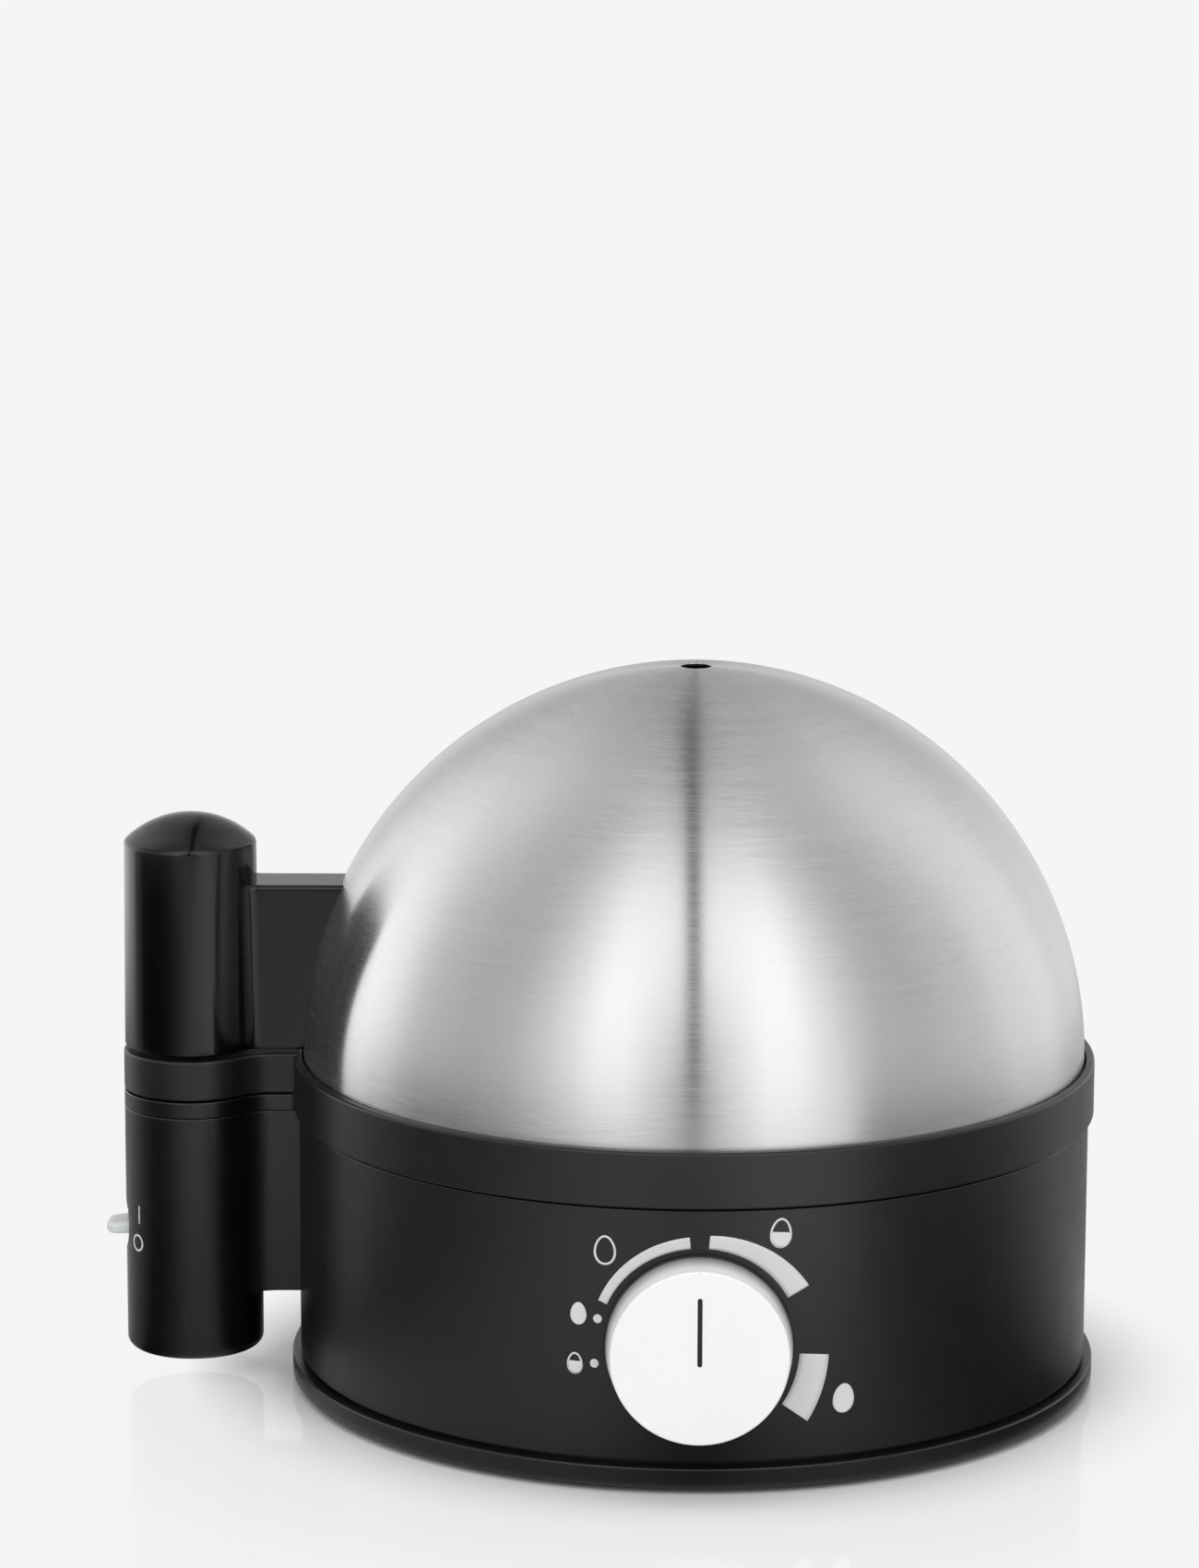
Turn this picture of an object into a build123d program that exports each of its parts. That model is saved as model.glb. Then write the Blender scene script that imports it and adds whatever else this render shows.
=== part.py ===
from build123d import *
import os
from math import asin, cos, radians, sin, sqrt

# Lengths are in millimetres, angles in degrees, heights from the table.
# The body stands on the Z axis, its knob faces -Y and its handles stand on the -X side.

# Gaps and fits
seat_gap = 0.3  # between pieces that lift off or move, and what they rest on
touch_gap = 0.05  # between a curved face and the one that it is held against
push_gap = 0.05  # radial, round a stem, screw or bush in its hole
running_gap = 0.06  # radial, round a shaft in its bearing
tiny = 0.01
past = 1.0  # how far a cutter runs past what it cuts

# Round body, from the table upwards
foot_height = 1.5
rim_overhang = 1.95  # of the rim past the housing
rim_height = 4.7
rim_edge = 0.8
shadow_gap = 0.9
shadow_depth = 2.9
floor_thickness = 2.2
upstand_wall = 1.8
housing_radius = 92.75
housing_wall = 2.5
housing_height = 57.9

# Bowl seat in the top of the housing, with its locating ring and its well
spigot_wall = 2.2
spigot_height = 3.9
spigot_gap = 0.6
seat_drop = 0.5
rebate_depth = 2.5  # of the step that the bowl seat lies on
seat_width = 8.2
well_lip = 1.8
well_depth = 8.5
seat_ribs = 12

# Heating bowl and its seal
seal_width = 5.5
seal_height = 1.5
bowl_steel = 0.8
bowl_well_gap = 1.4
bowl_taper = 7.6
bowl_depth = 14.3
bowl_bend = 5.0
bowl_flange_gap = 0.6

# Egg carrier
collar_overhang = 1.25  # of the collar past the housing
collar_wall = 2.0
collar_height = 12.7
collar_edge = 0.6
ledge_width = 6.0
ledge_thickness = 1.6
ledge_gap = 0.5
tray_thickness = 1.6
egg_hole_radius = 17.5
egg_pitch_radius = 55.0
egg_rim_wall = 1.6
egg_rim_height = 2.0
outer_eggs = 6
steam_slot_inset = 13.5
steam_slot_length = 16.0
steam_slot_width = 5.0
steam_hole_pitch = 27.5
steam_bore = 3.0

# Lid
dome_gap = 0.4
dome_steel = 0.8
dome_skirt = 5.1
vent_radius = 3.55
vent_edge = 0.3

# Handle on the base
handle_gap = 25.11  # from the housing's wall to the handle's axis
handle_radius = 16.08
handle_wall = 2.2
handle_clearance = 6.0  # under the handle
handle_foot_edge = 2.5
web_width = 15.0
web_blend = 12.0
web_clearance = 20.8  # under the web
cover_height = 3.9
cover_rise = 3.6  # of the cover's top above the housing
cover_plug = 3.0
seam_edge = 0.3

# Bands and grip above it
band_gap = 0.45
band_rise = 0.4  # of the carrier's band above its collar
band_edge = 0.5
grip_gap = 1.1
grip_foot_radius = 15.8
grip_head_radius = 15.45
grip_height = 48.5
grip_cap_rise = 6.4
grip_edge = 1.6
grip_wall = 2.4
grip_web_height = 39.1
grip_web_blend = 5.0
grip_web_edge = 1.0
grip_rib = 1.6

# Knob and the timer behind it
knob_height = 33.8
knob_back_radius = 20.75
knob_front_radius = 19.75
knob_depth = 8.6
knob_skin = 2.0
knob_edge = 0.5
knob_hub_radius = 5.5
knob_hub_recess = 2.9
knob_hub_room = 1.0  # round the hub's foot
knob_notch = 0.6
pad_rise = 0.55  # of the knob's flat seat, in front of the round wall
pad_margin = 0.25
pointer_width = 1.1
pointer_length = 15.65
pointer_tail = 1.85  # past the knob's axis
pointer_depth = 0.8
spindle_radius = 3.0
spindle_flat = 1.0
spindle_tail = 8.0
timer_radius = 12.5
timer_length = 13.0
timer_tab = 5.0
timer_tab_width = 2.0
tab_steel = 0.8
bush_radius = 4.4
bush_reach = 2.2  # past the knob's seat
nut_radius = 6.6
nut_thickness = 1.9

# Rocker switch in the handle
rocker_height = 35.7
rocker_inset = 7.94  # of its pivot from the handle's outer face
rocker_barrel_radius = 3.5
rocker_width = 9.0
rocker_reach = 12.5
rocker_root = 2.3
rocker_tip = 1.5
rocker_rest = 4.0  # how far the tip points down at rest
rocker_travel = 16.0
rocker_pin_radius = 1.4
rocker_side_gap = 0.2
scoop_height = 12.6
scoop_depth = 1.0
scoop_offset = 0.2
slot_gap = 0.5
cheek_wall = 2.2
switch_rise = 8.8
switch_back = 15.0
shelf_thickness = 2.2
lamp_radius = 1.65
lamp_length = 7.0
lamp_rise = 1.0
barrel_room = 1.0  # behind the rocker's barrel

# Screws
screw_radius = 1.5
screw_head_radius = 3.0
screw_head_height = 2.0
screw_slot = 0.7
boss_radius = 4.2
boss_inset = 5.75
boss_angle = 45.0
base_screws = 4
base_screw_length = 14.0
screw_well = 7.5
handle_screw_length = 9.0
screw_end = 1.0  # of plastic past the end of a blind screw hole
handle_screw_low = 29.0
handle_screw_high = 56.0
wire_hole_radius = 3.6
wire_hole_height = 42.5
lid_screw_low = 9.0  # angle above the dome's widest part
lid_screw_high = 21.0
lid_screw_length = 9.0

# Feet
foot_radius = 8.0
foot_inset = 22.25
foot_recess = 1.0
foot_edge = 0.4

# Heater under the bowl
spreader_inset = 20.0
spreader_thickness = 3.0
element_radius = 3.3
element_inset = 14.0
element_sweep = 300.0
element_drop = 15.0
stud_radius = 2.5
bracket_steel = 1.5
bracket_width = 14.0
bracket_slope = 23.0
bracket_foot = 7.0
bracket_gap = 2.0  # from its bend to the well's wall
stud_nut_radius = 4.6
stud_nut_thickness = 4.0
stud_end = 1.0  # of the stud past its nut
thermostat_radius = 8.0
thermostat_height = 6.0
thermostat_tab = 6.0
thermostat_tab_width = 5.0
sensor_inset = 18.0
fuse_radius = 2.0
fuse_length = 11.0

# Control board on the floor of the base
board_length = 64.0
board_width = 40.0
board_thickness = 1.6
board_height = 12.0
board_inset = 38.25  # of its centre from the wall behind the knob
post_radius = 2.8
post_pin_radius = 1.4
post_inset = 4.5
component_edge = 0.8
relay_size = (19.0, 15.5, 15.0)
relay_inset = (17.0, 15.0)  # from the board's left and inner edges
capacitor_size = (18.0, 9.0, 13.0)
capacitor_inset = (19.0, 13.0)  # from its right and inner edges
buzzer_radius = 6.0
buzzer_height = 7.5
buzzer_hole = 1.0
buzzer_inset = (18.0, 12.0)  # from its right and outer edges

# Mains side, at the back
gland_height = 20.0
gland_radius = 5.5
gland_bore = 3.4
gland_flange_radius = 8.0
gland_flange = 2.5
gland_groove = 1.0
gland_tail = 4.0
clamp_inset = 14.0
clamp_length = 26.0
clamp_width = 8.0
clamp_height = 4.5
clamp_spacing = 18.0
clamp_post_radius = 3.2
terminal_size = (32.0, 16.0, 12.0)
terminal_inset = 50.25
terminal_ways = 3
terminal_bore = 1.8
vent_slots = 16
vent_slot_length = 16.0
vent_slot_width = 3.0
vent_slot_inset = 40.25

# Heights and radii that follow
floor_bottom = foot_height
floor_top = floor_bottom + floor_thickness
rim_top = floor_bottom + rim_height
rim_radius = housing_radius + rim_overhang
housing_bottom = rim_top + shadow_gap
housing_top = housing_bottom + housing_height
housing_inner = housing_radius - housing_wall
boss_circle = housing_inner - boss_inset
foot_circle = housing_inner - foot_inset
board_offset = housing_inner - board_inset
terminal_place = housing_inner - terminal_inset
vent_slot_circle = housing_inner - vent_slot_inset
handle_reach = housing_radius + handle_gap
collar_radius = housing_radius + collar_overhang
spigot_radius = collar_radius - collar_wall - spigot_gap
spigot_inner = spigot_radius - spigot_wall
spigot_top = housing_top + spigot_height
well_radius = spigot_inner - seat_width
bowl_mouth_radius = well_radius - bowl_well_gap
bowl_floor_radius = bowl_mouth_radius - bowl_taper
spreader_radius = bowl_floor_radius - spreader_inset
element_ring = spreader_radius - element_inset
sensor_offset = element_ring - sensor_inset
bracket_flat = well_radius - bracket_slope
seal_seat = housing_top - seat_drop
seat_under = seal_seat - housing_wall
rebate_floor = housing_top - rebate_depth
seal_top = seal_seat + seal_height
bowl_flange_radius = spigot_inner - bowl_flange_gap
bowl_floor = seal_top + bowl_steel - bowl_depth
bowl_under = bowl_floor - bowl_steel
collar_bottom = housing_top + seat_gap
collar_top = collar_bottom + collar_height
collar_inner = collar_radius - collar_wall
steam_slot_radius = collar_inner - steam_slot_inset
ledge_bottom = spigot_top + ledge_gap
tray_bottom = ledge_bottom + ledge_thickness
tray_top = tray_bottom + tray_thickness
dome_radius = collar_inner - dome_gap
dome_bottom = tray_top + seat_gap
dome_centre = dome_bottom + dome_skirt
cover_top = housing_top + cover_rise
cover_bottom = cover_top - cover_height
band_bottom = cover_top + band_gap
band_top = collar_top + band_rise
grip_bottom = band_top + grip_gap
grip_crease = grip_bottom + grip_height
web_half = web_width / 2
handle_face = handle_reach + handle_radius
pad_front = housing_radius + pad_rise
pad_back = pad_front - housing_wall
pad_radius = knob_back_radius + pad_margin
knob_back = pad_front + seat_gap
knob_front = knob_back + knob_depth
rocker_pivot = handle_face - rocker_inset
spreader_bottom = bowl_under - spreader_thickness
element_height = spreader_bottom - element_radius
bracket_top = element_height - element_radius
boss_bottom = floor_top + screw_well
relay_place = (relay_inset[0] - board_length / 2, board_width / 2 - relay_inset[1])
capacitor_place = (board_length / 2 - capacitor_inset[0], board_width / 2 - capacitor_inset[1])
buzzer_place = (board_length / 2 - buzzer_inset[0], buzzer_inset[1] - board_width / 2)

# The knob's own plane: its x to the right, its y up and its z out of the body
dial = Plane(origin=(0, 0, knob_height), x_dir=(1, 0, 0), z_dir=(0, -1, 0))
# The cord's way in: its z out of the body at the back
rear = Plane(origin=(0, 0, gland_height), x_dir=(1, 0, 0), z_dir=(0, 1, 0))


def turned(*corners):
    """A body turned about the Z axis from a half section of (radius, height) corners."""
    return revolve(Plane.XZ * make_face(Polyline(*corners, close=True)), Axis.Z)


def disc(radius, low, high):
    """A round bar on the Z axis between two heights."""
    return Pos(0, 0, low) * Cylinder(radius, high - low, align=(Align.CENTER, Align.CENTER, Align.MIN))


def block(length, width, low, high):
    """A rectangular bar about the Z axis between two heights."""
    middle = (Align.CENTER, Align.CENTER, Align.MIN)
    return Pos(0, 0, low) * Box(length, width, high - low, align=middle)


def rings_at(shape, radius, height=None):
    """The round edges of one radius, at one height if it is given."""
    edges = shape.edges().filter_by(GeomType.CIRCLE)
    edges = edges.filter_by(lambda edge: abs(edge.radius - radius) < tiny)
    if height is not None:
        edges = edges.filter_by(lambda edge: abs(edge.center().Z - height) < tiny)
    return edges


def edges_at(shape, height):
    """The level edges that lie at one height."""
    return shape.edges().filter_by_position(Axis.Z, height - tiny, height + tiny)


def handle_plan(radius, half_width, blend):
    """Plan of a round post and of the web that runs from it into the body, joined by arcs."""
    post = Pos(-handle_reach, 0) * Circle(radius)
    web = Pos(-handle_reach / 2, 0) * Rectangle(handle_reach, 2 * half_width)
    corner_reach = sqrt(radius**2 - half_width**2)
    plan = post + web
    corners = plan.vertices().filter_by(lambda v: abs(v.X + handle_reach - corner_reach) < tiny)
    return fillet(corners, blend)


def handle_slice(radius, half_width, blend, low, high, body_radius):
    """A level slice of a handle, hollowed round the body that it meets."""
    plan = Pos(0, 0, low) * handle_plan(radius, half_width, blend)
    return extrude(plan, high - low) - disc(body_radius, low - past, high + past)


def handle_core(low, high, body_radius):
    """The room inside the handle's wall."""
    post = Pos(-handle_reach, 0) * disc(handle_radius - handle_wall, low, high)
    web = Pos(-handle_reach / 2, 0) * block(handle_reach, web_width - 2 * handle_wall, low, high)
    return post + (web - disc(body_radius, low - past, high + past))


def pan_screw(length):
    """A slotted screw that points up, its head's seat at height zero."""
    head = disc(screw_head_radius, -screw_head_height, 0)
    slot = block(1.5 * screw_head_radius, screw_slot, -screw_head_height, -screw_head_height / 2)
    return head + disc(screw_radius, 0, length) - slot


def hex_nut(radius, bore, low, high):
    """A hexagon nut on the Z axis."""
    nut = extrude(Pos(0, 0, low) * RegularPolygon(radius, 6), high - low)
    return nut - disc(bore, low - past, high + past)


def base_corners(circle):
    """Places of the four feet, screws or bosses on a circle."""
    return [loc for loc in PolarLocations(circle, base_screws, start_angle=boss_angle)]


def board_corners():
    """Places of the board's four posts."""
    spread = (board_length - 2 * post_inset, board_width - 2 * post_inset)
    return [Pos(0, -board_offset) * loc for loc in GridLocations(*spread, 2, 2)]


def clamp_holes():
    """Places of the cord clamp's two screws."""
    return [Pos(side * clamp_spacing / 2, housing_inner - clamp_inset) for side in (-1, 1)]


def base_plate():
    """Floor of the base: rim, shadow step, upstand, screw wells, posts and vents."""
    upstand_radius = housing_inner - touch_gap
    step = housing_radius - shadow_depth + housing_wall / 2
    plate = turned((0, floor_bottom), (rim_radius, floor_bottom), (rim_radius, rim_top), (step, rim_top),
                   (step, housing_bottom), (upstand_radius, housing_bottom), (upstand_radius, boss_bottom),
                   (upstand_radius - upstand_wall, boss_bottom), (upstand_radius - upstand_wall, floor_top),
                   (0, floor_top))
    plate = chamfer(rings_at(plate, rim_radius), rim_edge)
    for place in base_corners(boss_circle):
        plate += place * disc(boss_radius + upstand_wall / 2, floor_top, boss_bottom)
        plate -= place * disc(screw_head_radius + seat_gap, 0, boss_bottom - upstand_wall)
        plate -= place * disc(screw_radius + push_gap, 0, boss_bottom + past)
    for place in base_corners(foot_circle):
        plate -= place * disc(foot_radius + push_gap, 0, floor_bottom + foot_recess)
    for place in board_corners():
        post = disc(post_radius, floor_top, board_height)
        plate += place * (post + disc(post_pin_radius, floor_top, board_height + board_thickness))
    for place in clamp_holes():
        plate += place * disc(clamp_post_radius, floor_top, gland_height)
        plate -= place * disc(screw_radius + push_gap, floor_top + screw_end, gland_height + past)
    slot = block(vent_slot_length, vent_slot_width, 0, floor_top + past)
    for place in PolarLocations(vent_slot_circle, vent_slots):
        plate -= place * slot
    return plate


def rubber_feet():
    """Four rubber feet set in round recesses of the floor."""
    foot = disc(foot_radius, 0, floor_bottom + foot_recess)
    foot = chamfer(rings_at(foot, foot_radius, 0), foot_edge)
    return [place * foot for place in base_corners(foot_circle)]


def housing_shell():
    """Round wall as one turned section, with a rebate in its top for the bowl seat."""
    rebate = spigot_radius + push_gap
    shell = turned((housing_inner, housing_bottom), (housing_radius, housing_bottom),
                   (housing_radius, housing_top), (rebate, housing_top), (rebate, rebate_floor),
                   (housing_inner, rebate_floor))
    return chamfer(rings_at(shell, housing_radius, housing_top), seam_edge)


def knob_seat(shell):
    """The flat round seat of the knob, as thick as the wall, with the timer's hole."""
    inner = sqrt(housing_inner**2 - pad_radius**2)
    pad = dial * disc(pad_radius, inner, pad_front)
    hollow = dial * disc(pad_radius - housing_wall, inner - housing_wall, pad_back)
    hole = dial * disc(bush_radius + push_gap, inner - past, pad_front + past)
    return shell + pad - hollow - hole


def base_housing():
    """Round plastic housing of the base."""
    shell = knob_seat(housing_shell())
    for height in (handle_screw_low, handle_screw_high):
        shell -= side_hole(height, screw_radius + push_gap)
    shell -= side_hole(wire_hole_height, wire_hole_radius)
    shell -= rear * disc(gland_radius + push_gap, housing_inner - past, housing_radius + past)
    return shell


def bowl_seat():
    """Ring in the top of the housing: locating ring, seal seat, well wall, ribs and screw bosses."""
    lip = well_radius + well_lip
    edge = housing_inner - touch_gap
    low = seal_seat - well_depth
    ring = turned((well_radius, seal_seat), (spigot_inner, seal_seat), (spigot_inner, spigot_top),
                  (spigot_radius, spigot_top), (spigot_radius, rebate_floor), (edge, rebate_floor),
                  (edge, seat_under), (lip, seat_under), (lip, low), (well_radius, low))
    ring = chamfer(rings_at(ring, spigot_radius, spigot_top), spigot_wall / 4)
    rib = block(edge - lip + well_lip, upstand_wall, low, seat_under + tiny)
    for place in PolarLocations((edge + well_radius) / 2, seat_ribs, start_angle=boss_angle / 3):
        ring += place * rib
    for place in base_corners(boss_circle):
        ring += place * disc(boss_radius, boss_bottom, seat_under + tiny)
        ring -= place * disc(screw_radius + push_gap, boss_bottom - past, boss_bottom + base_screw_length)
    return ring


def side_hole(height, radius):
    """A hole through the wall between the housing and the handle."""
    side = Plane(origin=(0, 0, height), x_dir=(0, 1, 0), z_dir=(-1, 0, 0))
    return side * disc(radius, housing_inner - past, housing_radius + handle_wall + past)


def base_screw_group():
    """The four screws that hold the floor to the housing."""
    seat = boss_bottom - upstand_wall
    return [place * Pos(0, 0, seat) * pan_screw(base_screw_length) for place in base_corners(boss_circle)]


def handle_shell():
    """Hollow switch handle: round post, web, scoop, slot, shelf and screw bosses."""
    meets = housing_radius + touch_gap
    post = Pos(-handle_reach, 0) * disc(handle_radius, handle_clearance, cover_bottom)
    post = fillet(rings_at(post, handle_radius, handle_clearance), handle_foot_edge)
    web = handle_slice(handle_radius, web_half, web_blend, web_clearance, cover_bottom, meets)
    shell = post + web
    shell = chamfer(edges_at(shell, cover_bottom), seam_edge)
    end = meets + handle_wall
    shell -= Pos(-handle_reach, 0) * disc(handle_radius - handle_wall, handle_clearance + handle_wall,
                                          cover_bottom + past)
    shell -= handle_core(web_clearance + handle_wall, cover_bottom + past, end)
    return shell


def scoop():
    """The shallow hollow round the rocker, cut across the handle's outer side."""
    half = scoop_height / 2
    radius = (half**2 + scoop_depth**2) / (2 * scoop_depth)
    middle = rocker_height + scoop_offset
    place = Plane(origin=(-handle_face - radius + scoop_depth, 0, middle), x_dir=(1, 0, 0), z_dir=(0, 1, 0))
    return place * Cylinder(radius, 2 * handle_radius)


def rocker_slot():
    """The opening that the rocker swings in."""
    reach = rocker_inset
    low = -reach * sin(radians(rocker_rest)) - rocker_root - slot_gap
    high = reach * sin(radians(rocker_travel - rocker_rest)) + rocker_root + slot_gap
    slot = block(2 * handle_wall + 2 * scoop_depth, rocker_width + 2 * slot_gap, low, high)
    return Pos(-handle_face + handle_wall, 0, rocker_height) * slot


def switch_handle():
    """The handle that is fixed to the housing and holds the switch."""
    shell = handle_shell() - scoop() - rocker_slot()
    inner = handle_radius - handle_wall
    top = rocker_height - switch_rise
    shelf = disc(inner + tiny, top - shelf_thickness, top) - disc(wire_hole_radius, 0, housing_top)
    shell += Pos(-handle_reach, 0) * shelf
    end = housing_radius + touch_gap
    for height in (handle_screw_low, handle_screw_high):
        side = Plane(origin=(0, 0, height), x_dir=(0, 1, 0), z_dir=(-1, 0, 0))
        bar = side * disc(boss_radius, end + handle_wall / 2, end + handle_screw_length)
        shell += bar & handle_core(web_clearance, cover_bottom - cover_plug - past, end)
        shell -= side * disc(screw_radius + push_gap, end - past, end + handle_screw_length - screw_end)
    shell -= side_hole(wire_hole_height, wire_hole_radius)
    return shell


def handle_screw_group():
    """The two screws that hold the handle, put in from inside the housing."""
    group = []
    for height in (handle_screw_low, handle_screw_high):
        side = Plane(origin=(0, 0, height), x_dir=(0, 1, 0), z_dir=(-1, 0, 0))
        group.append(side * Pos(0, 0, housing_inner - touch_gap * 2) * pan_screw(handle_screw_length))
    return group


def handle_cover():
    """Flat cover of the switch handle, with a plug that sits inside its wall."""
    meets = collar_radius + dome_gap
    cover = handle_slice(handle_radius, web_half, web_blend, cover_bottom, cover_top, meets)
    cover = chamfer(edges_at(cover, cover_bottom) + edges_at(cover, cover_top), seam_edge)
    gap = handle_wall + touch_gap * 2
    low = cover_bottom - cover_plug
    post = Pos(-handle_reach, 0) * disc(handle_radius - gap, low, cover_bottom)
    core = Pos(-handle_reach, 0) * disc(handle_radius - gap - handle_wall, low, cover_bottom)
    return cover + (post - core)


def switch_body():
    """Switch block on the handle's shelf, with two cheeks that carry the rocker's pins."""
    low, high = rocker_height - switch_rise, rocker_height + switch_rise
    inner = rocker_width / 2 + rocker_side_gap * 2
    width = 2 * (inner + cheek_wall)
    pivot = -rocker_pivot
    back = pivot + switch_back
    front = pivot - rocker_barrel_radius
    body = Pos((front + back) / 2, 0) * block(back - front, width, low, high)
    room = pivot + rocker_barrel_radius + barrel_room
    hollow = block(room - front + 2 * past, 2 * inner, low - past, high + past)
    body -= Pos((front + room) / 2 - past, 0) * hollow
    body = chamfer(body.edges().filter_by(Axis.Z).group_by(Axis.X)[0], cheek_wall / 3)
    body -= Pos(pivot, 0, rocker_height) * Rot(90, 0, 0) * Cylinder(
        rocker_pin_radius + running_gap, 2 * width)
    lamp = disc(lamp_radius + push_gap, high - lamp_length + lamp_rise, high + past)
    return body - Pos((room + back) / 2, 0) * lamp


def indicator_lamp():
    """Small glow lamp that lights the rocker from behind."""
    high = rocker_height + switch_rise
    room = -rocker_pivot + rocker_barrel_radius + barrel_room
    back = -rocker_pivot + switch_back
    bulb = disc(lamp_radius, high - lamp_length + lamp_rise, high + lamp_rise)
    bulb = chamfer(rings_at(bulb, lamp_radius, high + lamp_rise), lamp_radius / 2)
    return Pos((room + back) / 2, 0) * bulb


def switch_rocker():
    """Rocker paddle: barrel, two pins and a flat tab that thins towards its round tip."""
    tip_centre = rocker_reach - rocker_tip
    side = make_face(Polyline((0, rocker_root), (0, -rocker_root), (tip_centre, -rocker_tip),
                              (tip_centre, rocker_tip), close=True))
    side += Pos(tip_centre, 0) * Circle(rocker_tip)
    across = Plane(origin=(0, 0, 0), x_dir=(-1, 0, 0), z_dir=(0, 1, 0))
    tab = extrude(across * side, rocker_width / 2, both=True)
    corner = rocker_width * 0.3
    plan = Pos(-rocker_reach / 2, 0) * RectangleRounded(rocker_reach, rocker_width, corner)
    plan += Pos(-rocker_reach / 4, 0) * Rectangle(rocker_reach / 2, rocker_width)
    tab &= extrude(plan, 2 * rocker_root, both=True)
    barrel = Rot(90, 0, 0) * Cylinder(rocker_barrel_radius, rocker_width + 2 * rocker_side_gap)
    pins = Rot(90, 0, 0) * Cylinder(rocker_pin_radius, rocker_width + 2 * cheek_wall)
    rocker = tab + barrel + pins
    return Pos(-rocker_pivot, 0, rocker_height) * Rot(0, -rocker_rest, 0) * rocker


def heating_bowl():
    """Deep-drawn steel bowl with a flat flange and a stud under its floor."""
    outer = bowl_mouth_radius + bowl_steel
    foot = bowl_floor_radius + bowl_steel
    dish = turned((0, bowl_under), (foot, bowl_under), (outer, seal_top), (bowl_flange_radius, seal_top),
                  (bowl_flange_radius, seal_top + bowl_steel), (bowl_mouth_radius, seal_top + bowl_steel),
                  (bowl_floor_radius, bowl_floor), (0, bowl_floor))
    dish = chamfer(rings_at(dish, foot, bowl_under), bowl_bend)
    dish = chamfer(rings_at(dish, bowl_floor_radius, bowl_floor), bowl_bend)
    stud = disc(stud_radius, bracket_top - bracket_steel - stud_nut_thickness - stud_end, bowl_under)
    return dish + stud


def bowl_seal():
    """Silicone ring between the bowl's flange and its seat."""
    outer = bowl_flange_radius - bowl_flange_gap
    return turned((outer - seal_width, seal_seat), (outer, seal_seat), (outer, seal_top),
                  (outer - seal_width, seal_top))


def heat_spreader():
    """Aluminium disc that carries the element's heat to the bowl."""
    plate = disc(spreader_radius, spreader_bottom, bowl_under)
    plate = chamfer(rings_at(plate, spreader_radius, spreader_bottom), spreader_thickness / 4)
    return plate - disc(stud_radius + push_gap, spreader_bottom - past, bowl_under + past)


def heating_element():
    """Open ring of sheathed heating tube, with its two ends turned down."""
    half = radians(element_sweep / 2)
    bend = 2 * element_radius
    ring = CenterArc((0, 0), element_ring, 180 - element_sweep / 2, element_sweep)
    path = Pos(0, 0, element_height) * ring
    tube = sweep(Plane(origin=path @ 0, z_dir=path % 0) * RegularPolygon(element_radius, 8), path)
    for side in (-1, 1):
        x, y = -element_ring * cos(half), side * element_ring * sin(half)
        tube += Pos(x, y) * disc(element_radius, element_height - element_drop, spreader_bottom)
        low = element_height - element_drop
        tube += Pos(x, y) * disc(element_radius / 2, low - bend, low)
    return tube


def bowl_bracket():
    """Sprung steel strip that pulls the bowl down by its stud, its feet under the well's lip."""
    foot_top = seal_seat - well_depth
    rise = foot_top - bracket_top
    start = well_radius - bracket_gap
    top = [(-start - bracket_foot, rise), (-start, rise), (-bracket_flat, 0),
           (bracket_flat, 0), (start, rise), (start + bracket_foot, rise)]
    low = [(x, z - bracket_steel) for x, z in reversed(top)]
    side = Plane(origin=(0, 0, bracket_top), x_dir=(1, 0, 0), z_dir=(0, -1, 0))
    strip = extrude(side * make_face(Polyline(*top, *low, close=True)), bracket_width / 2, both=True)
    return strip - disc(stud_radius + push_gap, 0, housing_top)


def bracket_nut():
    """Nut on the bowl's stud."""
    top = bracket_top - bracket_steel
    return hex_nut(stud_nut_radius, stud_radius + push_gap, top - stud_nut_thickness, top)


def thermostat():
    """Snap-action thermostat held against the spreader."""
    can = disc(thermostat_radius, spreader_bottom - thermostat_height / 3, spreader_bottom)
    low = spreader_bottom - thermostat_height
    cap = disc(thermostat_radius * 0.85, low, spreader_bottom)
    body = can + cap
    tab = block(tab_steel, thermostat_tab_width, low - thermostat_tab, low)
    for side in (-1, 1):
        body += Pos(side * thermostat_radius / 2, 0) * tab
    return Pos(0, sensor_offset) * body


def thermal_fuse():
    """Thermal fuse that lies along the spreader's underside."""
    can = Rot(0, 90, 0) * Cylinder(fuse_radius, fuse_length)
    lead = Rot(0, 90, 0) * Cylinder(fuse_radius / 4, 2 * fuse_length)
    return Pos(0, -sensor_offset, spreader_bottom - fuse_radius) * (can + lead)


def timer_unit():
    """Timer with a threaded bush through the knob's seat and a bore for the spindle."""
    back = pad_back - timer_length
    can = disc(timer_radius, back, pad_back) + disc(bush_radius, pad_back, pad_front + bush_reach)
    can = chamfer(rings_at(can, timer_radius, back), timer_radius / 10)
    for turn in (-1, 0, 1):
        can += Pos(turn * timer_radius / 2, 0) * block(timer_tab_width, tab_steel, back - timer_tab, back)
    can -= disc(spindle_radius + running_gap, pad_back - spindle_tail, pad_front + bush_reach + past)
    return dial * can


def timer_nut():
    """Flat nut that clamps the timer to the knob's seat."""
    return dial * hex_nut(nut_radius, bush_radius + push_gap, pad_front, pad_front + nut_thickness)


def spindle_section(radius):
    """Round section with the flat that the knob grips."""
    edge = radius - spindle_flat
    return Circle(radius) - Pos(0, edge + radius) * Rectangle(4 * radius, 2 * radius)


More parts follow.
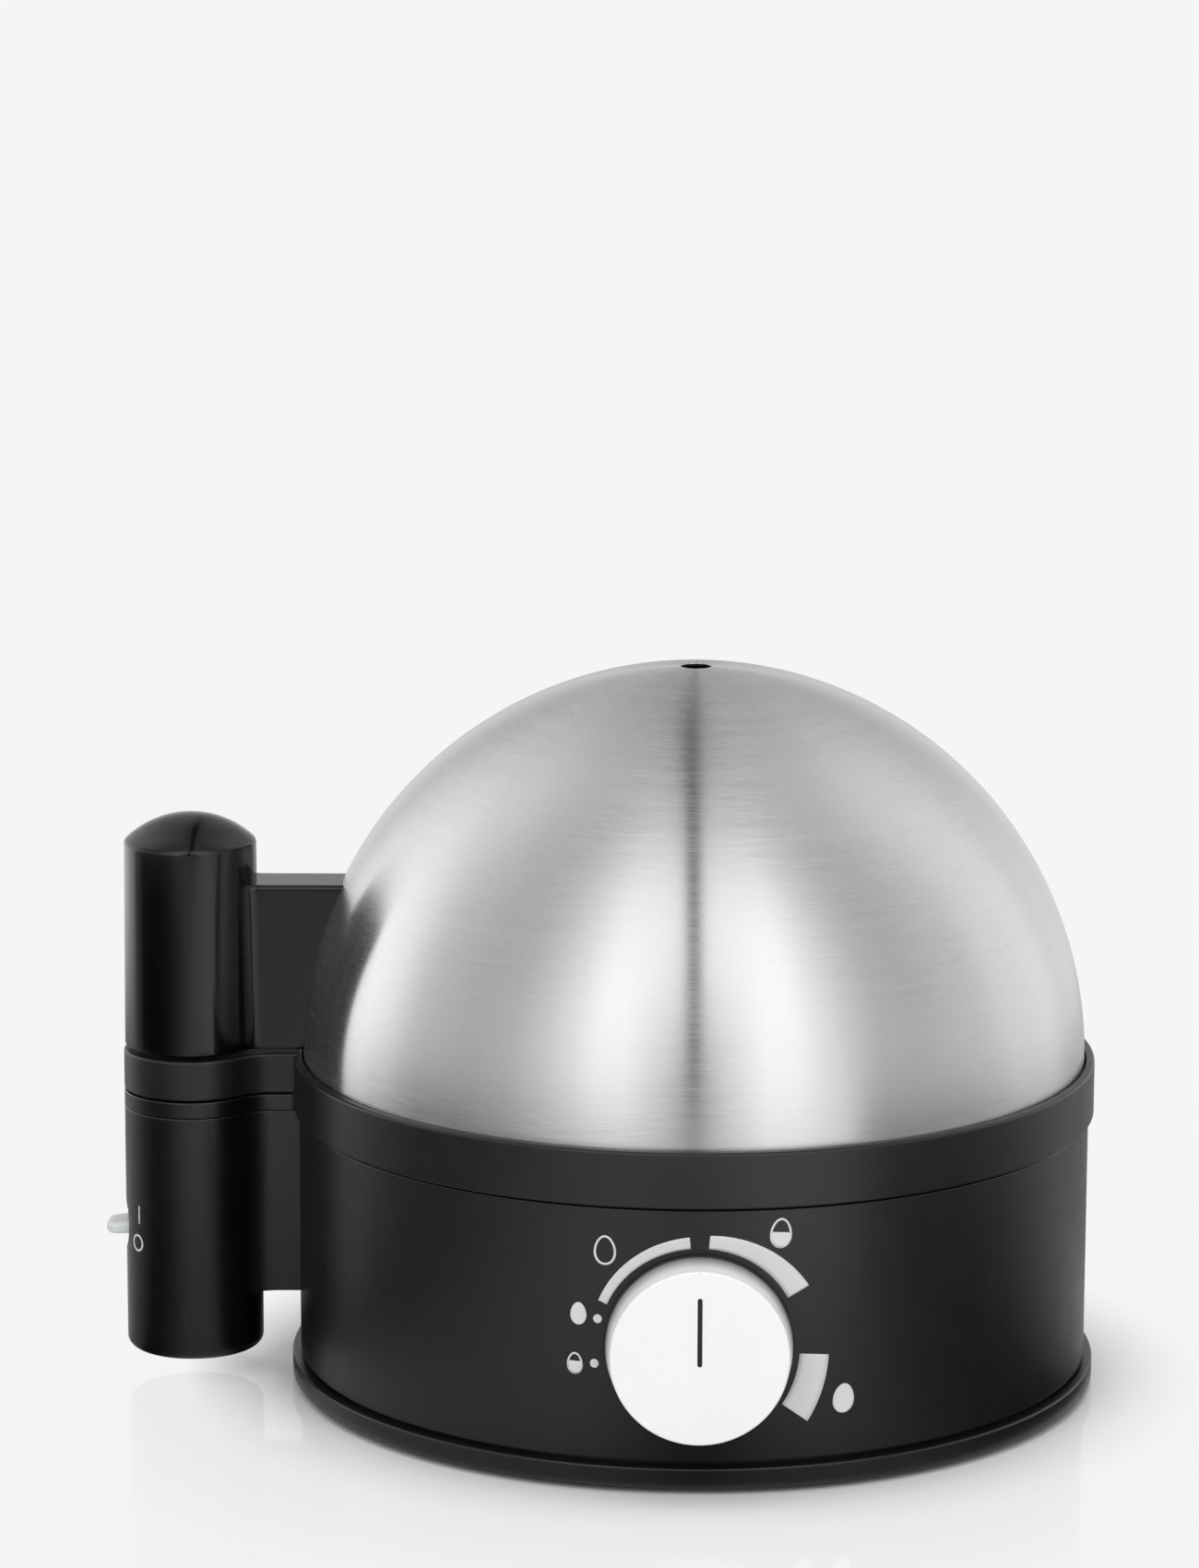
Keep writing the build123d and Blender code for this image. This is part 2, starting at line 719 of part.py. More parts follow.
def timer_spindle():
    """Timer spindle, round in its bearing and flatted in the knob."""
    back = pad_back - spindle_tail + seat_gap
    flat_start = pad_front + bush_reach
    round_part = disc(spindle_radius, back, flat_start)
    flat_part = extrude(Pos(0, 0, flat_start) * spindle_section(spindle_radius),
                        knob_front - knob_skin - flat_start)
    return dial * (round_part + flat_part)


def control_knob():
    """Hollow knob with a hub that grips the spindle and a slot for its pointer."""
    knob = turned((0, knob_back), (knob_back_radius, knob_back), (knob_front_radius, knob_front),
                  (0, knob_front))
    knob = chamfer(rings_at(knob, knob_front_radius, knob_front), knob_edge)
    inner = knob_front - knob_skin
    hollow = disc(knob_front_radius - knob_skin, knob_back - past, inner)
    knob -= hollow - disc(knob_hub_radius, knob_back + knob_hub_recess, inner + past)
    knob -= disc(knob_hub_radius + knob_hub_room, knob_back - past, knob_back + knob_hub_recess)
    knob -= extrude(Pos(0, 0, knob_back) * spindle_section(spindle_radius + push_gap), inner - knob_back)
    knob -= pointer_bar()
    notch = block(knob_notch, knob_notch, knob_front - knob_notch, knob_front + past)
    return dial * (knob - Pos(0, knob_front_radius) * notch)


def pointer_bar():
    """Bar with round ends, sunk in the knob's face, from just below its centre upwards."""
    bar = Rot(0, 0, 90) * SlotOverall(pointer_length, pointer_width)
    bar = Pos(0, pointer_length / 2 - pointer_tail, knob_front - pointer_depth) * bar
    return extrude(bar, pointer_depth)


def carrier_collar():
    """Collar of the egg carrier, with the tray's ledge and the middle band of the handle."""
    ring = turned((collar_inner, collar_bottom), (collar_radius, collar_bottom), (collar_radius, collar_top),
                  (collar_inner, collar_top), (collar_inner, tray_bottom),
                  (collar_inner - ledge_width, tray_bottom), (collar_inner - ledge_width, ledge_bottom),
                  (collar_inner, ledge_bottom))
    ring = chamfer(rings_at(ring, collar_radius, collar_top), collar_edge)
    ring = chamfer(rings_at(ring, collar_radius, collar_bottom), collar_edge / 2)
    inside = collar_radius - collar_wall / 2
    band = handle_slice(handle_radius, web_half, web_blend, band_bottom, band_top, inside)
    band = chamfer(edges_at(band, band_top), band_edge)
    band = chamfer(edges_at(band, band_bottom), seam_edge)
    band -= handle_core(band_bottom - past, band_top - handle_wall, collar_radius)
    return ring + (band - disc(inside, band_bottom - past, band_top + past))


def egg_tray():
    """Tray with a raised rim round each egg hole and steam slots between them."""
    tray = disc(collar_inner - seat_gap, tray_bottom, tray_top)
    rim = disc(egg_hole_radius + egg_rim_wall, tray_top, tray_top + egg_rim_height)
    hole = disc(egg_hole_radius, tray_bottom - past, tray_top + egg_rim_height + past)
    places = [Pos(0, 0)] + [loc for loc in PolarLocations(egg_pitch_radius, outer_eggs)]
    for place in places:
        tray += place * rim
    for place in places:
        tray -= place * hole
    half_step = 180 / outer_eggs
    slot = Rot(0, 0, 90) * SlotOverall(steam_slot_length, steam_slot_width)
    cut = extrude(Pos(0, 0, tray_bottom - past) * slot, tray_thickness + 2 * past)
    bore = disc(steam_bore, tray_bottom - past, tray_top + past)
    for place in PolarLocations(steam_slot_radius, outer_eggs, start_angle=half_step):
        tray -= place * cut
    for place in PolarLocations(steam_hole_pitch, outer_eggs, start_angle=half_step):
        tray -= place * bore
    return tray


def lid_dome():
    """Half-round steel shell with a short straight skirt and a steam hole at its top."""
    inner = dome_radius - dome_steel
    outer_top = sqrt(dome_radius**2 - vent_radius**2)
    inner_top = sqrt(inner**2 - vent_radius**2)
    half = sqrt(0.5)
    section = [
        Line((inner, dome_bottom), (dome_radius, dome_bottom)),
        Line((dome_radius, dome_bottom), (dome_radius, dome_centre)),
        ThreePointArc((dome_radius, dome_centre), (dome_radius * half, dome_centre + dome_radius * half),
                      (vent_radius, dome_centre + outer_top)),
        Line((vent_radius, dome_centre + outer_top), (vent_radius, dome_centre + inner_top)),
        ThreePointArc((vent_radius, dome_centre + inner_top), (inner * half, dome_centre + inner * half),
                      (inner, dome_centre)),
        Line((inner, dome_centre), (inner, dome_bottom)),
    ]
    dome = revolve(Plane.XZ * make_face(Curve() + section), Axis.Z)
    dome = chamfer(rings_at(dome, vent_radius, dome_centre + outer_top), vent_edge)
    for angle in (lid_screw_low, lid_screw_high):
        dome -= lid_axis(angle) * disc(screw_radius + push_gap, inner - past, dome_radius + past)
    return dome


def lid_axis(angle):
    """Plane whose z runs from the dome's centre through its wall on the handle's side."""
    way = (-cos(radians(angle)), 0, sin(radians(angle)))
    return Plane(origin=(0, 0, dome_centre), x_dir=(0, 1, 0), z_dir=way)


def lid_handle():
    """Grip of the lid: tapered post with a domed cap, and a web that fits the dome."""
    apex = grip_crease + grip_cap_rise
    cap_radius = (grip_head_radius**2 + grip_cap_rise**2) / (2 * grip_cap_rise)
    angle = asin(grip_head_radius / cap_radius) / 2
    middle = (cap_radius * sin(angle), apex - cap_radius * (1 - cos(angle)))
    section = [
        Line((0, grip_bottom), (grip_foot_radius, grip_bottom)),
        Line((grip_foot_radius, grip_bottom), (grip_head_radius, grip_crease)),
        ThreePointArc((grip_head_radius, grip_crease), middle, (0, apex)),
        Line((0, apex), (0, grip_bottom)),
    ]
    post = revolve(Plane.XZ * make_face(Curve() + section), Axis.Z)
    post = fillet(rings_at(post, grip_head_radius, grip_crease), grip_edge)
    post = chamfer(rings_at(post, grip_foot_radius, grip_bottom), seam_edge)
    web_top = grip_bottom + grip_web_height
    plan = Pos(0, 0, grip_bottom) * handle_plan(grip_head_radius, web_half, grip_web_blend)
    web = extrude(plan, grip_web_height)
    web = chamfer(edges_at(web, web_top).filter_by(Axis.X), grip_web_edge)
    web -= disc(dome_radius + touch_gap, dome_bottom, dome_centre)
    web -= Pos(0, 0, dome_centre) * Sphere(dome_radius + touch_gap)
    grip = (Pos(-handle_reach, 0) * post) + web
    grip -= Pos(-handle_reach, 0) * grip_core()
    for angle in (lid_screw_low, lid_screw_high):
        start = dome_radius - dome_steel
        grip -= lid_axis(angle) * disc(screw_radius + push_gap, start, start + lid_screw_length + past)
    return grip


def grip_core():
    """The room inside the lid's grip, open below, with two stiffening ribs across it."""
    inner = grip_head_radius - grip_wall
    core = disc(inner, grip_bottom - past, grip_crease - grip_wall)
    core = chamfer(rings_at(core, inner, grip_crease - grip_wall), grip_wall)
    for turn in (0, 90):
        core -= Rot(0, 0, turn) * block(2 * handle_radius, grip_rib, grip_bottom + 2 * grip_wall, grip_crease)
    return core


def lid_screw_group():
    """The two screws that hold the lid's grip, put in from inside the dome."""
    seat = dome_radius - dome_steel - touch_gap
    return [lid_axis(angle) * Pos(0, 0, seat) * pan_screw(lid_screw_length)
            for angle in (lid_screw_low, lid_screw_high)]


def control_board():
    """Circuit board on four posts, staked by their pins."""
    board = Pos(0, -board_offset) * block(board_length, board_width, board_height,
                                          board_height + board_thickness)
    hole = disc(post_pin_radius + push_gap, board_height - past, board_height + board_thickness + past)
    for place in board_corners():
        board -= place * hole
    return board


def on_board(size, place):
    """A boxed component that stands on the board."""
    low = board_height + board_thickness
    body = block(size[0], size[1], low, low + size[2])
    body = chamfer(body.edges().group_by(Axis.Z)[-1], component_edge)
    return Pos(place[0], place[1] - board_offset) * body


def buzzer():
    """Round signal buzzer with its sound hole."""
    low = board_height + board_thickness
    can = disc(buzzer_radius, low, low + buzzer_height)
    can = chamfer(rings_at(can, buzzer_radius, low + buzzer_height), component_edge)
    can -= disc(buzzer_hole, low + buzzer_height / 2, low + buzzer_height + past)
    return Pos(buzzer_place[0], buzzer_place[1] - board_offset) * can


def terminal_block():
    """Screw terminals for the mains leads."""
    length, width, height = terminal_size
    body = block(length, width, floor_top, floor_top + height)
    pitch = length / terminal_ways
    for step in range(terminal_ways):
        x = (step - (terminal_ways - 1) / 2) * pitch
        body -= Pos(x, 0) * disc(terminal_bore, floor_top + height / 3, floor_top + height + past)
    return Pos(0, terminal_place) * body


def cord_gland():
    """Rubber bush in the rear wall, flanged outside and in, with the cord's bore."""
    inner_face = sqrt(housing_inner**2 - gland_flange_radius**2) - touch_gap
    bush = disc(gland_radius, inner_face - gland_tail, housing_radius + gland_flange)
    flange = disc(gland_flange_radius, housing_radius - past, housing_radius + gland_flange)
    flange = chamfer(rings_at(flange, gland_flange_radius, housing_radius + gland_flange), gland_groove)
    nose = disc(gland_radius + gland_groove, inner_face - gland_tail, inner_face - gland_groove)
    bush = rear * (bush + nose - disc(gland_bore, 0, rim_radius + gland_flange))
    outside = rear * (flange - disc(gland_radius, 0, rim_radius + gland_flange))
    return bush + (outside - disc(housing_radius + touch_gap, 0, housing_top))


def cord_clamp():
    """Saddle that grips the cord behind its gland."""
    low = gland_height + seat_gap
    bar = block(clamp_length, clamp_width, gland_height, gland_height + clamp_height)
    bar = chamfer(bar.edges().filter_by(Axis.Z), clamp_width / 4)
    groove = Pos(0, 0, gland_height) * Rot(90, 0, 0) * Cylinder(gland_bore + push_gap, 2 * clamp_width)
    bar = Pos(0, housing_inner - clamp_inset) * (bar - groove)
    for place in clamp_holes():
        bar -= place * disc(screw_radius + push_gap, low - past, low + clamp_height + past)
    return bar


def clamp_screw_group():
    """The two screws of the cord clamp, heads up."""
    top = gland_height + clamp_height
    return [place * Pos(0, 0, top) * Rot(180, 0, 0) * pan_screw(base_screw_length * 0.7)
            for place in clamp_holes()]


def assembly():
    """Every node of the cooker, by name."""
    return {
        "base_plate": base_plate(),
        "rubber_feet": rubber_feet(),
        "base_housing": base_housing(),
        "bowl_seat": bowl_seat(),
        "base_screws": base_screw_group(),
        "switch_handle": switch_handle(),
        "handle_screws": handle_screw_group(),
        "handle_cover": handle_cover(),
        "switch_body": switch_body(),
        "indicator_lamp": indicator_lamp(),
        "switch_rocker": switch_rocker(),
        "heating_bowl": heating_bowl(),
        "bowl_seal": bowl_seal(),
        "heat_spreader": heat_spreader(),
        "heating_element": heating_element(),
        "bowl_bracket": bowl_bracket(),
        "bracket_nut": bracket_nut(),
        "thermostat": thermostat(),
        "thermal_fuse": thermal_fuse(),
        "timer_unit": timer_unit(),
        "timer_nut": timer_nut(),
        "timer_spindle": timer_spindle(),
        "control_knob": control_knob(),
        "knob_pointer": dial * pointer_bar(),
        "control_board": control_board(),
        "power_relay": on_board(relay_size, relay_place),
        "mains_capacitor": on_board(capacitor_size, capacitor_place),
        "signal_buzzer": buzzer(),
        "terminal_block": terminal_block(),
        "cord_gland": cord_gland(),
        "cord_clamp": cord_clamp(),
        "clamp_screws": clamp_screw_group(),
        "carrier_collar": carrier_collar(),
        "egg_tray": egg_tray(),
        "lid_dome": lid_dome(),
        "lid_handle": lid_handle(),
        "lid_screws": lid_screw_group(),
    }


# The frame's origin is the middle of the footprint, on the table
left = -rocker_pivot - rocker_reach * cos(radians(rocker_rest))
middle_x = (left + rim_radius) / 2
middle_y = (housing_radius + gland_flange - knob_front) / 2
to_frame = Pos(-middle_x, -middle_y)

os.makedirs("parts", exist_ok=True)
for name, shape in assembly().items():
    solids = shape if isinstance(shape, list) else [shape]
    placed = [to_frame * solid for piece in solids for solid in piece.solids()]
    export_step(placed[0] if len(placed) == 1 else Compound(placed), f"parts/{name}.step")
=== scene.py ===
import logging
from dataclasses import dataclass, field
from enum import Enum
from math import asin, atan2, cos, pi, radians, sin, sqrt, tan

import bmesh
import bpy
from mathutils import Matrix, Vector


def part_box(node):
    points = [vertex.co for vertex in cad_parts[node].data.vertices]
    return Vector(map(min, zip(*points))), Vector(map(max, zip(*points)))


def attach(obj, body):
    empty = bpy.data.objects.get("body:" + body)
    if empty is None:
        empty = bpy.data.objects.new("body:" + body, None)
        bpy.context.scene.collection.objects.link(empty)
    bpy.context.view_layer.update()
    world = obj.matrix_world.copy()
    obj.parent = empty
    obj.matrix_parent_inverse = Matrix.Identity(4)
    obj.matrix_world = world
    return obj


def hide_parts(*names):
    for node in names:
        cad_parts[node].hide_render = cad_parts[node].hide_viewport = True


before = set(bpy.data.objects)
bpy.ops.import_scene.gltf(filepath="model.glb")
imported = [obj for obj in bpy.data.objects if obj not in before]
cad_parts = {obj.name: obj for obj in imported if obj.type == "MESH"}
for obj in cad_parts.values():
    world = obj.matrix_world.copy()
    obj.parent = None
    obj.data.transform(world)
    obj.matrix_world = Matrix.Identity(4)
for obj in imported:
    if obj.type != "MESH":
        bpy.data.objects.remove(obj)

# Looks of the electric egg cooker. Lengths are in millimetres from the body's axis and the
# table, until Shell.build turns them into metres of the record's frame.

LOG = logging.getLogger("egg_cooker")
MM = 0.001
POINT_RADIUS = 1e-6
Pair = tuple[float, float]
Point = tuple[float, float, float]
Colour = tuple[float, float, float]
Stops = tuple[Pair, ...]
# Radius of the post, half the web's width, radius between them, radius of the body, height
PlanRow = tuple[float, float, float, float, float]
Socket = bpy.types.NodeSocket
Node = bpy.types.Node
Piece = bpy.types.Object


class Body(Enum):
    """Rigid bodies that the pieces ride on."""

    BASE = "base"
    ROCKER = "rocker"
    KNOB = "knob"
    CARRIER = "carrier"
    LID = "lid"


class Slot(Enum):
    """Material slots of the record."""

    BLACK = "black_plastic"
    GLOSS = "gloss_black"
    WHITE = "white_plastic"
    POINTER = "pointer_black"
    CLEAR = "clear_grey"
    DOME = "dome_steel"


# Geometry helpers


def axis_place() -> Matrix:
    """Matrix that moves points from the body's axis to the record's frame."""
    low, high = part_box("lid_dome")
    return Matrix.Translation(((low.x + high.x) / 2, (low.y + high.y) / 2, 0.0))


def show(name: str, data: bpy.types.ID) -> Piece:
    """Link a new object to the scene.

    Args:
        name: Name of the object.
        data: Its mesh, lamp or camera.

    Returns:
        The object.
    """
    made = bpy.data.objects.new(name, data)
    bpy.context.scene.collection.objects.link(made)
    return made


def shift(x: float, y: float = 0.0, z: float = 0.0) -> Matrix:
    """Matrix of a straight move."""
    return Matrix.Translation((x, y, z))


def spin(turn: float, axis: str = "Z") -> Matrix:
    """Matrix of a turn in radians about an axis."""
    return Matrix.Rotation(turn, 4, axis)


def dial_place(height: float) -> Matrix:
    """Place of the knob's axis: its Z out of the body, its Y up."""
    return shift(0, 0, height) @ spin(pi / 2, "X")


def arc(centre: Pair, radius: float, start: float, end: float, steps: int) -> list[Pair]:
    """Points along an arc between two angles in radians, one more than its steps."""
    turn = [start + (end - start) * k / steps for k in range(steps + 1)]
    return [(centre[0] + radius * cos(t), centre[1] + radius * sin(t)) for t in turn]


def rounded(corners: list[tuple[float, ...]], steps: int = 6) -> list[Pair]:
    """Closed outline whose corners are rounded.

    Args:
        corners: (x, y) or (x, y, radius) of each corner, in order.
        steps: Chords per rounding.

    Returns:
        The outline's points.
    """
    outline: list[Pair] = []
    count = len(corners)
    for k, corner in enumerate(corners):
        here = Vector(corner[:2])
        if len(corner) < 3:
            outline.append((here.x, here.y))
            continue
        back = (Vector(corners[k - 1][:2]) - here).normalized()
        ahead = (Vector(corners[(k + 1) % count][:2]) - here).normalized()
        half = back.angle(ahead) / 2
        middle = here + (back + ahead).normalized() * (corner[2] / sin(half))
        first = here + back * (corner[2] / tan(half)) - middle
        last = here + ahead * (corner[2] / tan(half)) - middle
        start = atan2(first.y, first.x)
        sweep = (atan2(last.y, last.x) - start + pi) % (2 * pi) - pi
        outline += arc((middle.x, middle.y), corner[2], start, start + sweep, steps)
    return outline


def edge_rows(edge: float, steps: int = 5) -> list[Pair]:
    """(inset, rise) along a rounded edge, from the face to the side."""
    turn = [pi / 2 * k / steps for k in range(steps + 1)]
    return [(edge * (1 - sin(t)), edge * (1 - cos(t))) for t in turn]


@dataclass
class Shell:
    """Points and faces of one piece while it is made."""

    points: list[Vector] = field(default_factory=list)
    faces: list[tuple[int, ...]] = field(default_factory=list)

    @classmethod
    def stack(cls, rows: list[list[Point]]) -> "Shell":
        """A closed shell through rows of points.

        Args:
            rows: Rows of the same length, upwards.

        Returns:
            The shell, capped at both ends.
        """
        shell = cls()
        made = shell.bridge_all(rows)
        shell.faces += [tuple(reversed(made[0])), tuple(made[-1])]
        return shell

    def row(self, points: list[Point]) -> list[int]:
        """Add points and return their numbers."""
        self.points += [Vector(p) for p in points]
        return list(range(len(self.points) - len(points), len(self.points)))

    def bridge(self, first: list[int], second: list[int], closed: bool = True) -> None:
        """Join two rows of the same length, or a row and a single point.

        Args:
            first: Numbers of one row.
            second: Numbers of the other row, or one number.
            closed: Whether the rows run round.
        """
        count = max(len(first), len(second))
        for k in range(count if closed else count - 1):
            n = (k + 1) % count
            if len(second) == 1:
                self.faces.append((first[k], first[n], second[0]))
            elif len(first) == 1:
                self.faces.append((first[0], second[n], second[k]))
            else:
                self.faces.append((first[k], first[n], second[n], second[k]))

    def bridge_all(self, rows: list[list[Point]], closed: bool = True) -> list[list[int]]:
        """Add rows and join each to the next.

        Args:
            rows: Rows of the same length.
            closed: Whether the rows run round.

        Returns:
            The numbers of each row's points.
        """
        made = [self.row(row) for row in rows]
        for first, second in zip(made, made[1:]):
            self.bridge(first, second, closed)
        return made

    def add(self, other: "Shell") -> None:
        """Take in another shell's faces and points."""
        self.faces += [tuple(i + len(self.points) for i in face) for face in other.faces]
        self.points += other.points

    def moved(self, place: Matrix) -> "Shell":
        """A copy of the shell at another place."""
        return Shell([place @ p for p in self.points], list(self.faces))

    def build(self, name: str) -> Piece:
        """Make the Blender object, in metres of the record's frame.

        Args:
            name: Name of the piece.

        Returns:
            The linked object.
        """
        place = axis_place() @ Matrix.Scale(MM, 4)
        mesh = bpy.data.meshes.new(name)
        mesh.from_pydata([place @ p for p in self.points], [], self.faces)
        work = bmesh.new()
        work.from_mesh(mesh)
        bmesh.ops.recalc_face_normals(work, faces=work.faces)
        work.to_mesh(mesh)
        work.free()
        return show(name, mesh)


def lathe(profile: list[Pair], segments: int = 256, closed: bool = True) -> Shell:
    """Turn a profile round the Z axis.

    Args:
        profile: (radius, height) points, in order.
        segments: Number of facets round the axis.
        closed: Whether the last point joins the first.

    Returns:
        The turned shell.
    """
    shell = Shell()
    rings: list[list[int]] = []
    for radius, height in profile:
        if radius < POINT_RADIUS:
            rings.append(shell.row([(0.0, 0.0, height)]))
        else:
            plan = arc((0, 0), radius, 0, 2 * pi, segments)[:-1]
            rings.append(shell.row([(x, y, height) for x, y in plan]))
    for ring, after in zip(rings, rings[1:] + rings[:1] if closed else rings[1:]):
        if len(ring) > 1 or len(after) > 1:
            shell.bridge(ring, after)
    return shell


def rod(radius: float, low: float, high: float, edge: float = 0.0, segments: int = 96) -> Shell:
    """A round bar on the Z axis, with rounded ends where an edge is given."""
    corner = (edge,) if edge else ()
    return lathe(rounded([(0, low), (radius, low, *corner), (radius, high, *corner), (0, high)], 4), segments)


def bar(plan: list[Pair], low: float, high: float) -> Shell:
    """A bar of any outline between two heights."""
    return Shell.stack([[(x, y, height) for x, y in plan] for height in (low, high)])


def slab(length: float, width: float, low: float, high: float) -> Shell:
    """A rectangular bar about the Z axis."""
    x, y = length / 2, width / 2
    return bar([(-x, -y), (x, -y), (x, y), (-x, y)], low, high)


def stadium(length: float, width: float, low: float, high: float, steps: int = 12) -> Shell:
    """A bar with round ends that lies along Y."""
    end, radius = (length - width) / 2, width / 2
    return bar(arc((0, end), radius, 0, pi, steps) + arc((0, -end), radius, pi, 2 * pi, steps), low, high)


def carve(piece: Piece, cutter: Shell) -> None:
    """Cut a shell out of a piece for good.

    Args:
        piece: The piece.
        cutter: What goes.
    """
    tool = cutter.build("cutter")
    step = piece.modifiers.new("cut", "BOOLEAN")
    step.operation = "DIFFERENCE"
    step.solver = "EXACT"
    step.object = tool
    shape = bpy.context.evaluated_depsgraph_get()
    shape.update()
    mesh = bpy.data.meshes.new_from_object(piece.evaluated_get(shape))
    piece.modifiers.clear()
    old = piece.data
    piece.data = mesh
    bpy.data.meshes.remove(old)
    bpy.data.objects.remove(tool)


def smooth(piece: Piece, angle: float = 32.0) -> Piece:
    """Shade a piece smooth, with normals that keep flat faces flat.

    Args:
        piece: The piece.
        angle: Sharpest smooth edge, in degrees.

    Returns:
        The piece.
    """
    for face in piece.data.polygons:
        face.use_smooth = True
    piece.data.set_sharp_from_angle(angle=radians(angle))
    step = piece.modifiers.new("normals", "WEIGHTED_NORMAL")
    step.keep_sharp = True
    step.weight = 80
    return piece


# Finishes

# Nearly all values of a noise lie between these two
NOISE_RANGE = (0.3, 0.7)
# A ramp's colours end at 1, so it works on brightness divided by this
BRIGHTEST = 2.0


@dataclass(frozen=True)
class Value:
    """Output of a node, with which plain sums can be written."""

    graph: "Graph"
    socket: Socket

    def __add__(self, other: object) -> "Value":
        """Sum with a number or another value."""
        return self.graph.math("ADD", self, other)

    def __sub__(self, other: object) -> "Value":
        """Difference to a number or another value."""
        return self.graph.math("SUBTRACT", self, other)

    def __mul__(self, other: object) -> "Value":
        """Product with a number or another value."""
        return self.graph.math("MULTIPLY", self, other)

    def __truediv__(self, other: object) -> "Value":
        """Share of a number or another value."""
        return self.graph.math("DIVIDE", self, other)


class Graph:
    """A node tree with short ways to add and join its nodes."""

    def __init__(self, tree: bpy.types.NodeTree) -> None:
        """Empty the tree and keep it."""
        self.tree = tree
        tree.nodes.clear()

    def put(self, value: object, target: Socket) -> None:
        """Join a value to a socket, or write a number or colour on the socket itself.

        Args:
            value: Value, number, colour or vector.
            target: Input of a node.
        """
        if isinstance(value, Value):
            self.tree.links.new(value.socket, target)
        else:
            target.default_value = value

    def node(self, kind: str, **values: object) -> Node:
        """Add a node.

        Args:
            kind: Type name of the node.
            values: Attributes, and inputs whose names end in an underscore.

        Returns:
            The new node.
        """
        made = self.tree.nodes.new(kind)
        for key, value in values.items():
            if key.endswith("_"):
                self.fill(made, **{key[:-1]: value})
            else:
                setattr(made, key, value)
        return made

    def out(self, made: Node, output: int | str = 0) -> Value:
        """Output of a node as a value."""
        return Value(self, made.outputs[output])

    def add(self, kind: str, **values: object) -> Value:
        """Add a node and return its first output."""
        return self.out(self.node(kind, **values))

    def fill(self, made: Node, **values: object) -> None:
        """Fill inputs of a node, their names written with underscores."""
        for name, value in values.items():
            self.put(value, made.inputs[name.replace("_", " ")])

    def fed(self, made: Node, *values: object) -> Value:
        """Fill a node's first inputs in order.

        Args:
            made: The node.
            values: What goes into them.

        Returns:
            The node's first output.
        """
        for value, target in zip(values, made.inputs):
            self.put(value, target)
        return self.out(made)

    def math(self, operation: str, a: object, b: object = 0.0, clamp: bool = False) -> Value:
        """Sum, product or function of numbers and values."""
        return self.fed(self.node("ShaderNodeMath", operation=operation, use_clamp=clamp), a, b)

    def root(self, a: Value, b: Value) -> Value:
        """Length of the long side over two square ones."""
        return self.math("SQRT", a * a + b * b)

    def noise(self, place: Value, scale: float, detail: float = 3.0, rough: float = 0.5) -> Value:
        """Value of a noise texture."""
        return self.out(self.node("ShaderNodeTexNoise", Vector_=place, Scale_=scale, Detail_=detail,
                                  Roughness_=rough), "Fac")

    def place(self, origin: Vector | Point = (0.0, 0.0, 0.0)) -> Value:
        """Object coordinates in metres, from an origin."""
        place = self.out(self.node("ShaderNodeTexCoord"), "Object")
        return self.fed(self.node("ShaderNodeVectorMath", operation="SUBTRACT"), place, origin)

    def axes(self, place: Value) -> tuple[Value, Value, Value]:
        """X, Y and Z of a vector."""
        parts = self.node("ShaderNodeSeparateXYZ", Vector_=place)
        return self.out(parts, 0), self.out(parts, 1), self.out(parts, 2)

    def span(self, value: Value, low: float, high: float, to_low: float = 0.0, to_high: float = 1.0) -> Value:
        """Map one range to another, clamped."""
        return self.fed(self.node("ShaderNodeMapRange"), value, low, high, to_low, to_high)

    def fade(self, angle: Value, ends: Pair, to_low: float = 0.0, to_high: float = 1.0) -> Value:
        """Map a range of angles, in degrees, to a range of numbers, clamped."""
        return self.span(angle, radians(ends[0]), radians(ends[1]), to_low, to_high)

    def sway(self, noise: Value, amount: float) -> Value:
        """A noise as a number from -amount to amount."""
        return self.span(noise, *NOISE_RANGE, -amount, amount)

    def ramp(self, angle: Value, stops: Stops, low: float = 0.0) -> Value:
        """Brightness by angle.

        Args:
            angle: Angle in radians.
            stops: (degrees, brightness) of each stop.
            low: Least angle in degrees; the greatest is 180.

        Returns:
            The brightness.
        """
        made = self.node("ShaderNodeValToRGB")
        made.color_ramp.interpolation = "EASE"
        elements = made.color_ramp.elements
        while len(elements) < len(stops):
            elements.new(0.5)
        for element, (turn, bright) in zip(elements, stops):
            element.position = (turn - low) / (180 - low)
            element.color = (*[bright / BRIGHTEST] * 3, 1.0)
        self.put((angle - radians(low)) / radians(180 - low), made.inputs["Fac"])
        return self.out(made, "Color") * BRIGHTEST

    def mix(self, factor: Value, first: object, second: object) -> Value:
        """Mix two numbers or values by a factor."""
        return self.add("ShaderNodeMix", data_type="FLOAT", Factor_=factor, A_=first, B_=second)

    def blend(self, noise: Value, first: Colour, second: Colour) -> Value:
        """Mix two colours by a noise."""
        return self.out(self.node("ShaderNodeMix", data_type="RGBA", Factor_=self.span(noise, *NOISE_RANGE),
                                  A_=(*first, 1.0), B_=(*second, 1.0)), "Result")

    def bump(self, shader: Node, height: Value, strength: float, depth: float) -> None:
        """Roughen a shader's surface by a height."""
        made = self.node("ShaderNodeBump", Height_=height, Strength_=strength, Distance_=depth)
        self.put(self.out(made, "Normal"), shader.inputs["Normal"])

    def layer(self, factor: Value, first: Value, second: Value) -> Value:
        """Mix two shaders by a factor."""
        return self.fed(self.node("ShaderNodeMixShader"), factor, first, second)

